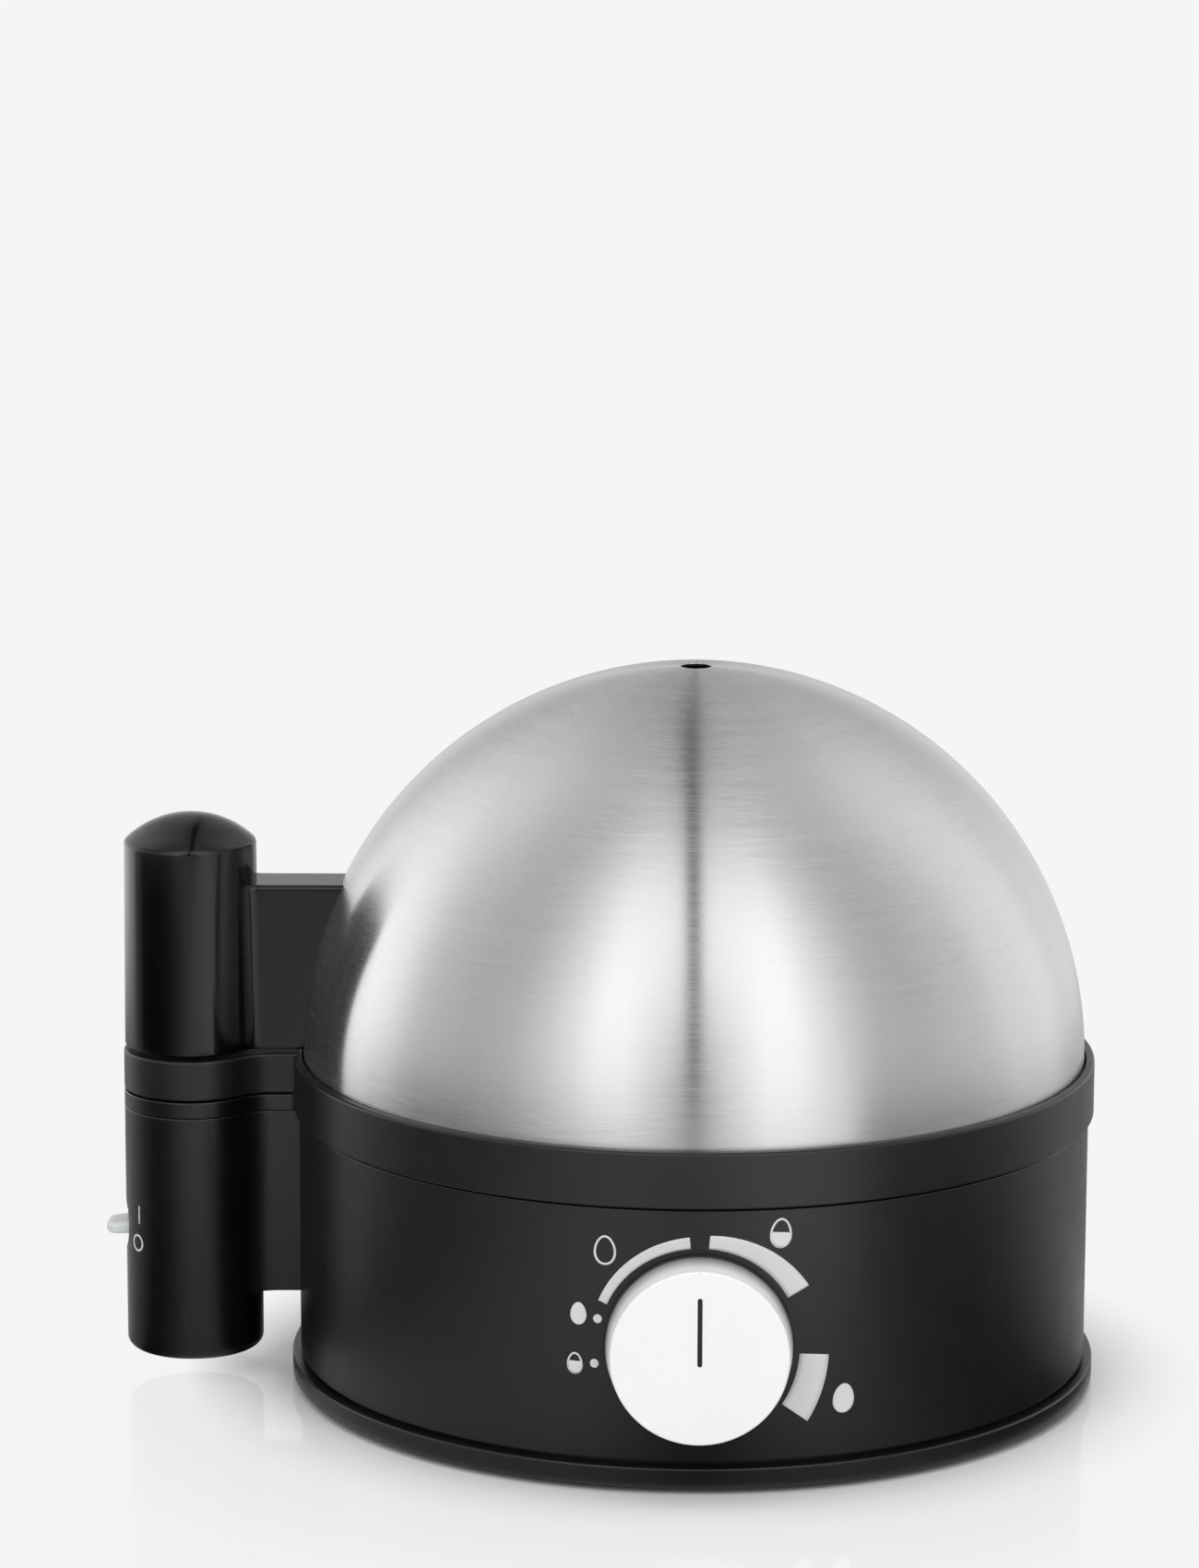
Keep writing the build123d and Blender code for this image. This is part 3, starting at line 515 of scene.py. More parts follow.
    def shown(self) -> Value:
        """Tell rays that show the surroundings from all others.

        Returns:
            1 for rays from the camera, glossy and transmitted ones.
        """
        path = self.node("ShaderNodeLightPath")
        seen = self.math("MAXIMUM", self.out(path, "Is Camera Ray"), self.out(path, "Is Glossy Ray"))
        return self.math("MAXIMUM", seen, self.out(path, "Is Transmission Ray"))


def new_material(name: str) -> tuple[bpy.types.Material, Graph]:
    """Make an empty material.

    Args:
        name: Name of the material.

    Returns:
        The material and its node tree.
    """
    made = bpy.data.materials.new(name)
    made.use_nodes = True
    return made, Graph(made.node_tree)


@dataclass(frozen=True)
class Finish:
    """A finish with a name, from which a material is made once."""

    name: str
    colour: Colour

    def shade(self, share: float) -> Colour:
        """The colour, darker or lighter."""
        return tuple(min(1.0, c * share) for c in self.colour)

    def material(self) -> bpy.types.Material:
        """The finish's material, made on first use.

        Returns:
            The material.
        """
        known = bpy.data.materials.get(self.name)
        if known is not None and known.get("dressed"):
            return known
        made, graph = new_material(self.name)
        made["dressed"] = True
        made.diffuse_color = (*self.colour, 1.0)
        shader = graph.node("ShaderNodeBsdfPrincipled")
        graph.node("ShaderNodeOutputMaterial", Surface_=graph.out(shader))
        self.dress(graph, shader)
        return made

    def dress(self, graph: Graph, shader: Node) -> None:
        """Fill in the shader."""
        raise NotImplementedError


@dataclass(frozen=True)
class Moulded(Finish):
    """Moulded plastic or rubber: fine grain, slight mottling and uneven gloss."""

    roughness: float = 0.4
    spread: float = 0.025
    grain: float = 2600.0
    depth: float = 0.00002
    specular: float = 0.5
    coat: float = 0.0
    coat_roughness: float = 0.05
    sheen: float = 0.0
    variation: float = 0.06
    clouds: float = 38.0
    wear: float = 170.0

    def tone(self, graph: Graph) -> Value:
        """Colour of the surface, slightly mottled."""
        cloud = graph.noise(graph.place(), self.clouds, 4.0, 0.6)
        return graph.blend(cloud, self.shade(1 - self.variation), self.shade(1 + self.variation))

    def dress(self, graph: Graph, shader: Node) -> None:
        """Fill in the shader.

        Args:
            graph: The material's node tree.
            shader: The shader in it.
        """
        speck = graph.noise(graph.place(), self.grain, 2.0, 0.6)
        rough = graph.sway(graph.noise(graph.place(), self.wear), self.spread) + self.roughness
        rough = graph.math("ADD", graph.sway(speck, self.spread / 2), rough, True)
        graph.fill(shader, Base_Color=self.tone(graph), Roughness=rough, Specular_IOR_Level=self.specular,
                   Coat_Weight=self.coat, Coat_Roughness=self.coat_roughness, Sheen_Weight=self.sheen)
        if self.depth:
            graph.bump(shader, speck, 0.5, self.depth)


@dataclass(frozen=True)
class PaintedShadeMoulded(Moulded):
    """Moulded plastic with painted shade: its colour greys towards its back, where the housing keeps light
    away.
    """

    # Painted shade: full colour at the front, falling to the least share at the back, in millimetres from the
    # axis
    back: float = 93.6
    front: float = 99.5
    least: float = 0.16

    def tone(self, graph: Graph) -> Value:
        """Colour of the surface, with painted shade that greys it towards its back.

        Args:
            graph: The material's node tree.

        Returns:
            The colour.
        """
        _, y, _ = graph.axes(graph.place(axis_place().translation))
        # Painted shade: the colour is multiplied down from the front towards the back, as if the housing kept
        # light off it
        depth = graph.span(y, -self.back * MM, -self.front * MM, self.least)
        shade = graph.node("ShaderNodeMix", data_type="RGBA", blend_type="MULTIPLY", Factor_=1.0,
                           A_=Moulded.tone(self, graph), B_=depth)
        return graph.out(shade, "Result")


@dataclass(frozen=True)
class TurnBrushed(Finish):
    """Steel brushed round the Z axis, as on a lathe."""

    roughness: float = 0.34
    anisotropy: float = 0.8
    metallic: float = 0.95
    centre: float = 78.0
    stretch: float = 0.35
    strokes: float = 13.0
    fine: float = 30.0
    broad: float = 2.5
    soft: float = 14.0

    def dress(self, graph: Graph, shader: Node) -> None:
        """Fill in the shader.

        Args:
            graph: The material's node tree.
            shader: The shader in it.
        """
        place = graph.place(axis_place().translation)
        x, y, z = graph.axes(place)
        around = graph.math("ARCTAN2", y, x)
        # Strokes are long round the axis and fine along the section
        along = graph.math("ARCTAN2", z - self.centre * MM, graph.root(x, y))
        brushed = graph.fed(graph.node("ShaderNodeCombineXYZ"), graph.math("COSINE", around) * self.stretch,
                            graph.math("SINE", around) * self.stretch, along * self.strokes)
        fine = graph.noise(brushed, self.fine, 3.0, 0.65)
        mixed = fine * 0.7 + graph.noise(brushed, self.broad, 3.0, 0.6) * 0.3
        rough = graph.sway(mixed, 0.05) + self.roughness
        graph.fill(shader, Base_Color=graph.blend(mixed, self.shade(0.90), self.shade(1.07)),
                   Roughness=graph.sway(graph.noise(place, self.soft, 2.0), 0.02) + rough,
                   Metallic=self.metallic, Anisotropic=self.anisotropy, Anisotropic_Rotation=0.25,
                   Tangent=graph.add("ShaderNodeTangent", direction_type="RADIAL", axis="Z"))
        graph.bump(shader, fine, 0.1, 0.00001)


@dataclass(frozen=True)
class PlainMetal(Finish):
    """Turned, rolled or plated metal with fine scratches."""

    roughness: float = 0.35
    scratches: float = 900.0
    stretch: Point = (1.0, 0.06, 1.0)
    clouds: float = 60.0

    def dress(self, graph: Graph, shader: Node) -> None:
        """Fill in the shader.

        Args:
            graph: The material's node tree.
            shader: The shader in it.
        """
        place = graph.place()
        drawn = graph.add("ShaderNodeMapping", Scale_=self.stretch, Vector_=place)
        scratch = graph.noise(drawn, self.scratches, 4.0, 0.6)
        tone = graph.blend(graph.noise(place, self.clouds), self.shade(0.8), self.colour)
        rough = graph.sway(scratch, 0.08) + self.roughness
        graph.fill(shader, Base_Color=tone, Roughness=rough, Metallic=1.0)
        graph.bump(shader, scratch, 0.3, 0.00001)


@dataclass(frozen=True)
class Translucent(Finish):
    """Milky clear plastic or glass that lets some light through."""

    roughness: float = 0.28
    clear: float = 0.15
    refraction: float = 1.49
    clouds: float = 240.0

    def dress(self, graph: Graph, shader: Node) -> None:
        """Fill in the shader."""
        cloud = graph.noise(graph.place(), self.clouds)
        graph.fill(shader, Base_Color=graph.blend(cloud, self.shade(0.92), self.colour),
                   Roughness=graph.sway(cloud, 0.05) + self.roughness, Transmission_Weight=self.clear,
                   IOR=self.refraction)


BLACK = Moulded("housing_black", (0.0055, 0.0055, 0.0057), roughness=0.34, specular=0.43)
SATIN = Moulded("handle_black", (0.0015, 0.0015, 0.0016), roughness=0.25, depth=0.000012)
GLOSS = Moulded("grip_gloss", (0.0008, 0.0008, 0.0009), roughness=0.12, spread=0.015, depth=0.0,
                specular=0.40)
# The knob's white carries painted shade that greys it towards its back
WHITE = PaintedShadeMoulded("knob_white", (0.80, 0.80, 0.795), roughness=0.45, depth=0.000008, variation=0.015)
POINTER = Moulded("pointer_ink", (0.004, 0.004, 0.004), roughness=0.5, depth=0.0)
PRINT = Moulded("printed_grey", (0.61, 0.61, 0.61), roughness=0.5, depth=0.000004, variation=0.02)
CLEAR = Translucent("rocker_clear", (0.70, 0.72, 0.72))
DOME = TurnBrushed("dome_steel_brushed", (0.56, 0.56, 0.565), roughness=0.25, anisotropy=1.0)
RUBBER = Moulded("foot_rubber", (0.012, 0.012, 0.012), roughness=0.72, specular=0.3, grain=1800.0)
SILICONE = Moulded("seal_silicone", (0.42, 0.42, 0.40), roughness=0.55, sheen=0.1)
DARK = Moulded("part_dark", (0.022, 0.022, 0.025), roughness=0.38)
TERMINAL = Moulded("terminal_white", (0.72, 0.72, 0.69), variation=0.03)
YELLOW = Moulded("capacitor_case", (0.62, 0.40, 0.05), roughness=0.3, depth=0.000008)
BOARD = Moulded("board_lacquer", (0.020, 0.130, 0.050), roughness=0.25, coat=0.4)
BOWL = TurnBrushed("bowl_steel_brushed", (0.52, 0.52, 0.525), roughness=0.30, anisotropy=0.6)
ZINC = PlainMetal("screw_zinc", (0.55, 0.56, 0.58))
BRASS = PlainMetal("turned_brass", (0.62, 0.44, 0.18), roughness=0.28)
CAST = PlainMetal("spreader_aluminium", (0.62, 0.62, 0.63), roughness=0.5)
SHEATH = PlainMetal("element_tube", (0.24, 0.22, 0.20), roughness=0.5)
LAMP = Translucent("lamp_glass", (0.85, 0.45, 0.30), roughness=0.08, clear=0.7)

NODE_FINISHES: dict[Finish, tuple[str, ...]] = {
    BLACK: ("base_plate", "base_housing", "bowl_seat", "carrier_collar", "egg_tray"),
    SATIN: ("switch_handle", "handle_cover"),
    GLOSS: ("lid_handle",),
    WHITE: ("control_knob",),
    POINTER: ("knob_pointer",),
    CLEAR: ("switch_rocker",),
    DOME: ("lid_dome",),
    BOWL: ("heating_bowl",),
    RUBBER: ("rubber_feet", "cord_gland"),
    SILICONE: ("bowl_seal",),
    DARK: ("switch_body", "thermostat", "timer_unit", "power_relay", "signal_buzzer", "cord_clamp"),
    TERMINAL: ("terminal_block",),
    YELLOW: ("mains_capacitor",),
    BOARD: ("control_board",),
    ZINC: ("base_screws", "handle_screws", "lid_screws", "clamp_screws", "bowl_bracket", "bracket_nut",
           "thermal_fuse"),
    BRASS: ("timer_nut", "timer_spindle"),
    CAST: ("heat_spreader",),
    SHEATH: ("heating_element",),
    LAMP: ("indicator_lamp",),
}


def dress_nodes() -> None:
    """Give every CAD node its finish."""
    for finish, names in NODE_FINISHES.items():
        for name in names:
            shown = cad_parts[name].data.materials
            shown.clear()
            shown.append(finish.material())


def settle(piece: Piece, finish: Finish, body: Body, slot: Slot, *nodes: str) -> None:
    """Dress a piece, let it ride on its body and hide the CAD nodes that it stands for.

    Args:
        piece: The piece.
        finish: Its finish.
        body: The body that carries it.
        slot: The record's material slot. Not used.
        nodes: CAD nodes that it replaces.
    """
    piece.data.materials.clear()
    piece.data.materials.append(finish.material())
    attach(piece, body.value)
    if nodes:
        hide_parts(*nodes)
    LOG.info("%s on %s, %d faces", piece.name, body.value, len(piece.data.polygons))


# Body


@dataclass
class RoundBody:
    """Floor with its rim, and the round housing with the knob's seat."""

    rim_radius: float = 94.7
    rim_low: float = 1.5
    rim_high: float = 6.2
    rim_edge: float = 0.5
    step_radius: float = 90.6
    floor_high: float = 3.7
    ring_outer: float = 90.2
    ring_inner: float = 88.4
    ring_high: float = 11.2
    vents: int = 16
    vent_size: Pair = (16.0, 3.0)
    vent_circle: float = 50.0
    feet: int = 4
    foot_radius: float = 8.05
    foot_recess: float = 2.5
    foot_circle: float = 68.0
    well_radius: float = 3.3
    well_circle: float = 84.5
    cut_high: float = 5.0
    wall_low: float = 7.1
    wall_high: float = 64.75
    wall_radius: float = 92.75
    wall_inner: float = 90.25
    wall_edge: float = 0.3
    top_edge: float = 0.4
    rebate_radius: float = 91.45
    rebate_floor: float = 62.5
    gland_height: float = 20.0
    gland_radius: float = 5.55
    gland_cut: Pair = (80.0, 100.0)
    knob_height: float = 33.8
    seat_radius: float = 21.0
    seat_back: float = 88.0
    seat_front: float = 93.3
    seat_edge: float = 0.3

    def floor(self) -> None:
        """Floor with rounded rim, vents, screw wells and foot recesses."""
        profile = rounded([(0, self.rim_low), (self.rim_radius, self.rim_low, self.rim_edge),
                           (self.rim_radius, self.rim_high, self.rim_edge), (self.step_radius, self.rim_high),
                           (self.step_radius, self.wall_low), (self.ring_outer, self.wall_low),
                           (self.ring_outer, self.ring_high), (self.ring_inner, self.ring_high),
                           (self.ring_inner, self.floor_high), (0, self.floor_high)])
        piece = lathe(profile).build("floor_plate")
        cutter = Shell()
        for k in range(self.vents):
            slot = slab(*self.vent_size, 0.0, self.cut_high).moved(shift(self.vent_circle))
            cutter.add(slot.moved(spin(2 * pi * k / self.vents)))
        for k in range(self.feet):
            turn = spin(radians(45) + 2 * pi * k / self.feet)
            cutter.add(rod(self.foot_radius, 0.0, self.foot_recess).moved(turn @ shift(self.foot_circle)))
            cutter.add(rod(self.well_radius, 0.0, self.cut_high).moved(turn @ shift(self.well_circle)))
        carve(piece, cutter)
        settle(smooth(piece), BLACK, Body.BASE, Slot.BLACK, "base_plate")

    def housing(self) -> None:
        """Round wall with the gland's hole."""
        profile = rounded([(self.wall_inner, self.wall_low),
                           (self.wall_radius, self.wall_low, self.wall_edge),
                           (self.wall_radius, self.wall_high, self.top_edge),
                           (self.rebate_radius, self.wall_high), (self.rebate_radius, self.rebate_floor),
                           (self.wall_inner, self.rebate_floor)])
        piece = lathe(profile, 360).build("housing_wall")
        carve(piece, rod(self.gland_radius, *self.gland_cut).moved(spin(pi) @ dial_place(self.gland_height)))
        settle(smooth(piece), BLACK, Body.BASE, Slot.BLACK, "base_housing")

    def seat(self) -> None:
        """Flat round seat behind the knob."""
        profile = rounded([(0, self.seat_back), (self.seat_radius, self.seat_back),
                           (self.seat_radius, self.seat_front, self.seat_edge), (0, self.seat_front)])
        piece = lathe(profile, 160).moved(dial_place(self.knob_height)).build("knob_seat")
        settle(smooth(piece), BLACK, Body.BASE, Slot.BLACK)


# Handles


@dataclass(frozen=True)
class HandlePlan:
    """Plan of a round post and of the web that joins it to the round body."""

    radius: float = 16.08
    half: float = 7.5
    blend: float = 12.0
    reach: float = 117.86
    outer_steps: int = 84
    blend_steps: int = 10
    side_steps: int = 4
    end_steps: int = 8
    inner_steps: int = 20

    def spread(self, radius: float, half: float, blend: float) -> float:
        """Angle at which the web's blend leaves the post."""
        return asin((half + blend) / (radius + blend))

    def place(self) -> Matrix:
        """Place of the post's axis."""
        return shift(-self.reach)

    def web_row(self, radius: float, half: float, blend: float, body: float, height: float) -> list[Point]:
        """One closed row round post and web, the post's outer arc first.

        Args:
            radius: Radius of the post.
            half: Half the web's width.
            blend: Radius between web and post.
            body: Radius of the round body that the web meets.
            height: Height of the row.

        Returns:
            The row's points.
        """
        spread = self.spread(radius, half, blend)
        bend = ((radius + blend) * cos(spread) - self.reach, half + blend)
        end = -sqrt(body**2 - half**2)
        corner = asin(half / body)
        row = arc((-self.reach, 0), radius, spread, 2 * pi - spread, self.outer_steps)
        row += arc((bend[0], -bend[1]), blend, pi - spread, pi / 2, self.blend_steps)[1:]
        side = [(bend[0] + (end - bend[0]) * k / self.side_steps, half) for k in range(1, self.side_steps)]
        row += [(x, -y) for x, y in side]
        row += arc((0, 0), body, pi + corner, pi - corner, self.end_steps)
        row += list(reversed(side))
        row += arc(bend, blend, -pi / 2, spread - pi, self.blend_steps)[:-1]
        return [(x, y, height) for x, y in row]

    def post_row(self, radius: float, spread: float, height: float) -> list[Point]:
        """One closed row round the post alone, its points where the web rows have theirs.

        Args:
            radius: Radius of the post.
            spread: Angle at which the web leaves it.
            height: Height of the row.

        Returns:
            The row's points.
        """
        row = arc((-self.reach, 0), radius, spread, 2 * pi - spread, self.outer_steps)
        row += arc((-self.reach, 0), radius, -spread, spread, self.inner_steps)[1:-1]
        return [(x, y, height) for x, y in row]

    def inset_rows(self, body: float, height: float, edge: float, way: int = 1) -> list[PlanRow]:
        """Rows from a rounded end of post and web onwards, upwards or, with way -1, downwards."""
        return [(self.radius - inset, self.half - inset, self.blend + inset, body, height + way * rise)
                for inset, rise in edge_rows(edge)]

    def band(self, body: float, low: float, high: float, edges: Pair) -> Shell:
        """Post and web between two heights.

        Args:
            body: Radius of the round body that the web meets.
            low: Height of the lower end.
            high: Height of the upper end.
            edges: Radii of the lower and the upper edge.

        Returns:
            The shell, capped at both ends.
        """
        rows = self.inset_rows(body, low, edges[0])
        rows += reversed(self.inset_rows(body, high, edges[1], -1))
        return Shell.stack([self.web_row(*row) for row in rows])

    def post_and_web(self, web: list[PlanRow], post: list[Pair]) -> Shell:
        """A closed shell whose web ends part of the way along its post.

        Args:
            web: Rows round post and web, from the capped end to the end of the web.
            post: (radius, height) of the rows that go on, the first at the web's end.

        Returns:
            The shell.
        """
        shell = Shell()
        made = shell.bridge_all([self.web_row(*row) for row in web])
        shell.faces.append(tuple(reversed(made[0])))
        spread = self.spread(*web[-1][:3])
        outer = made[-1][:self.outer_steps + 1]
        inner = shell.row(self.post_row(post[0][0], spread, post[0][1])[self.outer_steps + 1:])
        shell.faces.append(tuple([outer[-1]] + made[-1][self.outer_steps + 1:] + [outer[0]] + inner[::-1]))
        last = outer + inner
        for radius, height in post[1:]:
            if radius < POINT_RADIUS:
                shell.bridge(last, shell.row([(-self.reach, 0, height)]))
                return shell
            row = shell.row(self.post_row(radius, spread, height))
            shell.bridge(last, row)
            last = row
        shell.faces.append(tuple(last))
        return shell


@dataclass
class SwitchHandle:
    """Handle on the base, its cover and the signs beside its rocker."""

    plan: HandlePlan = field(default_factory=HandlePlan)
    low: float = 6.0
    foot_edge: float = 2.5
    foot_steps: int = 10
    foot_straight: float = 4.0
    web_low: float = 20.8
    web_edge: float = 0.6
    high: float = 64.7
    seam: float = 0.35
    wall_radius: float = 92.6
    core_wall: float = 2.2
    core_top: float = 2.0
    cover_high: float = 68.6
    cover_body: float = 94.4
    plug_wall: float = 2.3
    plug_low: float = 3.0
    plug_high: float = 0.5
    pivot_z: float = 35.7
    slot_size: Pair = (8.0, 10.0)
    slot_low: float = 3.35
    slot_high: float = 4.45
    slot_inset: float = 2.0
    scoop_half: float = 6.3
    scoop_depth: float = 1.0
    scoop_lift: float = 0.2
    scoop_reach: float = 17.0
    on_turn: float = -49.4
    on_half: float = 0.2
    on_heights: tuple[float, ...] = (37.9, 39.3, 40.8, 42.2)
    off_turn: float = -52.0
    off_height: float = 33.15
    off_sizes: tuple[Pair, Pair] = ((1.55, 1.6), (2.02, 2.08))
    off_steps: int = 40

    def shell(self) -> None:
        """Post and web with the scoop and the slot of the rocker."""
        plan = self.plan
        web = plan.inset_rows(self.wall_radius, self.high, self.seam, -1)
        web += [(plan.radius, plan.half - inset, plan.blend, self.wall_radius, self.web_low + rise)
                for inset, rise in reversed(edge_rows(self.web_edge))]
        post = [(plan.radius, self.web_low), (plan.radius, self.low + self.foot_edge + self.foot_straight)]
        foot = reversed(edge_rows(self.foot_edge, self.foot_steps))
        post += [(plan.radius - inset, self.low + rise) for inset, rise in foot]
        piece = plan.post_and_web(web, post).build("switch_handle_shell")
        core = rod(plan.radius - self.core_wall, self.low + self.core_wall, self.high - self.core_top)
        carve(piece, core.moved(plan.place()))
        carve(piece, self.scoop())
        slot = slab(*self.slot_size, self.pivot_z - self.slot_low, self.pivot_z + self.slot_high)
        carve(piece, slot.moved(shift(-plan.reach - plan.radius + self.slot_inset)))
        settle(smooth(piece), SATIN, Body.BASE, Slot.BLACK, "switch_handle")

    def scoop(self) -> Shell:
        """Shallow hollow across the outer side of the post.

        Returns:
            What is cut out.
        """
        radius = (self.scoop_half**2 + self.scoop_depth**2) / (2 * self.scoop_depth)
        outward = self.plan.reach + self.plan.radius + radius - self.scoop_depth
        place = shift(-outward, 0, self.pivot_z + self.scoop_lift) @ spin(pi / 2, "X")
        return rod(radius, -self.scoop_reach, self.scoop_reach, segments=200).moved(place)

    def cover(self) -> None:
        """Flat cover between the handle and the carrier's band."""
        shell = self.plan.band(self.cover_body, self.high, self.cover_high, (self.seam, self.seam))
        plug = rod(self.plan.radius - self.plug_wall, self.high - self.plug_low, self.high + self.plug_high)
        shell.add(plug.moved(self.plan.place()))
        settle(smooth(shell.build("handle_lid")), SATIN, Body.BASE, Slot.BLACK, "handle_cover")

    def signs(self) -> None:
        """Bar and ring of the switch, printed on the post."""
        skin = Skin((-self.plan.reach, 0), self.plan.radius, 0.0)
        bar_at, ring_at = (radians(turn) * self.plan.radius for turn in (self.on_turn, self.off_turn))
        across = (-self.on_half, 0.0, self.on_half)
        skin.print(skin.patch([[(bar_at + u, v) for u in across] for v in self.on_heights]), "sign_on")
        turn = [2 * pi * k / self.off_steps for k in range(self.off_steps + 1)]
        rings = [[(ring_at + wide * cos(t), self.off_height + tall * sin(t)) for t in turn]
                 for wide, tall in self.off_sizes]
        skin.print(skin.patch(rings), "sign_off")


@dataclass
class Rocker:
    """Paddle of the switch with a soft round tip, its barrel and its pins."""

    pivot_x: float = -126.0
    pivot_z: float = 35.7
    rest: float = 4.0
    reach: float = 12.5
    root: float = 2.3
    tip: float = 1.5
    wide: float = 4.5
    corner: float = 2.7
    power: float = 0.55
    flank: float = 0.7
    flank_steps: int = 10
    tip_steps: int = 14
    segments: int = 48
    barrel: tuple[float, ...] = (3.5, -4.7, 4.7, 0.3)
    pins: tuple[float, ...] = (1.4, -6.7, 6.7, 0.2)

    def stations(self) -> list[float]:
        """Distances from the pivot at which the paddle has rows.

        Returns:
            The distances, outwards.
        """
        flank = [self.reach * k / self.flank_steps * self.flank for k in range(self.flank_steps)]
        turn = [pi / 2 * k / self.tip_steps for k in range(self.tip_steps)]
        return sorted(flank + [self.reach - self.corner * (1 - sin(t)) for t in turn] + [self.reach - 0.02])

    def section(self, along: float) -> list[Point]:
        """Soft rectangle round the paddle at a distance from the pivot.

        Args:
            along: The distance.

        Returns:
            The row's points.
        """
        start = self.reach - self.tip
        thick = self.root + (self.tip - self.root) * min(1.0, along / start)
        if along > start:
            thick = self.tip * sqrt(max(0.0, 1 - ((along - start) / self.tip)**2))
        width, start = self.wide, self.reach - self.corner
        if along > start:
            bend = sqrt(max(0.0, 1 - ((along - start) / self.corner)**2))
            width = self.wide - self.corner + self.corner * bend
        turn = [2 * pi * k / self.segments for k in range(self.segments)]
        return [(-along, width * self.soft(cos(t)), thick * self.soft(sin(t))) for t in turn]

    def soft(self, share: float) -> float:
        """A share of the half width, pushed out towards the corners."""
        return abs(share)**self.power * (1 if share >= 0 else -1)

    def paddle(self) -> None:
        """Paddle, barrel and pins at their angle of rest."""
        shell = Shell.stack([self.section(along) for along in self.stations()])
        for sizes in (self.barrel, self.pins):
            shell.add(rod(*sizes).moved(spin(pi / 2, "X")))
        place = shift(self.pivot_x, 0, self.pivot_z) @ spin(-radians(self.rest), "Y")
        piece = shell.moved(place).build("rocker_paddle")
        settle(smooth(piece, 40), CLEAR, Body.ROCKER, Slot.CLEAR, "switch_rocker")


@dataclass
class Carrier:
    """Egg carrier: its collar with the middle band of the handle."""

    plan: HandlePlan = field(default_factory=HandlePlan)
    low: float = 65.3
    high: float = 78.0
    outer: float = 94.0
    inner: float = 92.0
    low_edge: float = 0.4
    high_edge: float = 0.7
    ledge_inner: float = 86.0
    ledge_low: float = 69.4
    ledge_high: float = 71.0
    band_low: float = 69.05
    band_high: float = 78.4
    band_body: float = 93.2
    band_edges: Pair = (0.35, 0.6)

    def collar(self) -> None:
        """Collar ring with the tray's ledge, and the band that stands out of it."""
        profile = rounded([(self.inner, self.low), (self.outer, self.low, self.low_edge),
                           (self.outer, self.high, self.high_edge), (self.inner, self.high, self.low_edge),
                           (self.inner, self.ledge_high), (self.ledge_inner, self.ledge_high),
                           (self.ledge_inner, self.ledge_low), (self.inner, self.ledge_low)])
        shell = lathe(profile, 360)
        shell.add(self.plan.band(self.band_body, self.band_low, self.band_high, self.band_edges))
        settle(smooth(shell.build("carrier_ring")), BLACK, Body.CARRIER, Slot.BLACK, "carrier_collar")


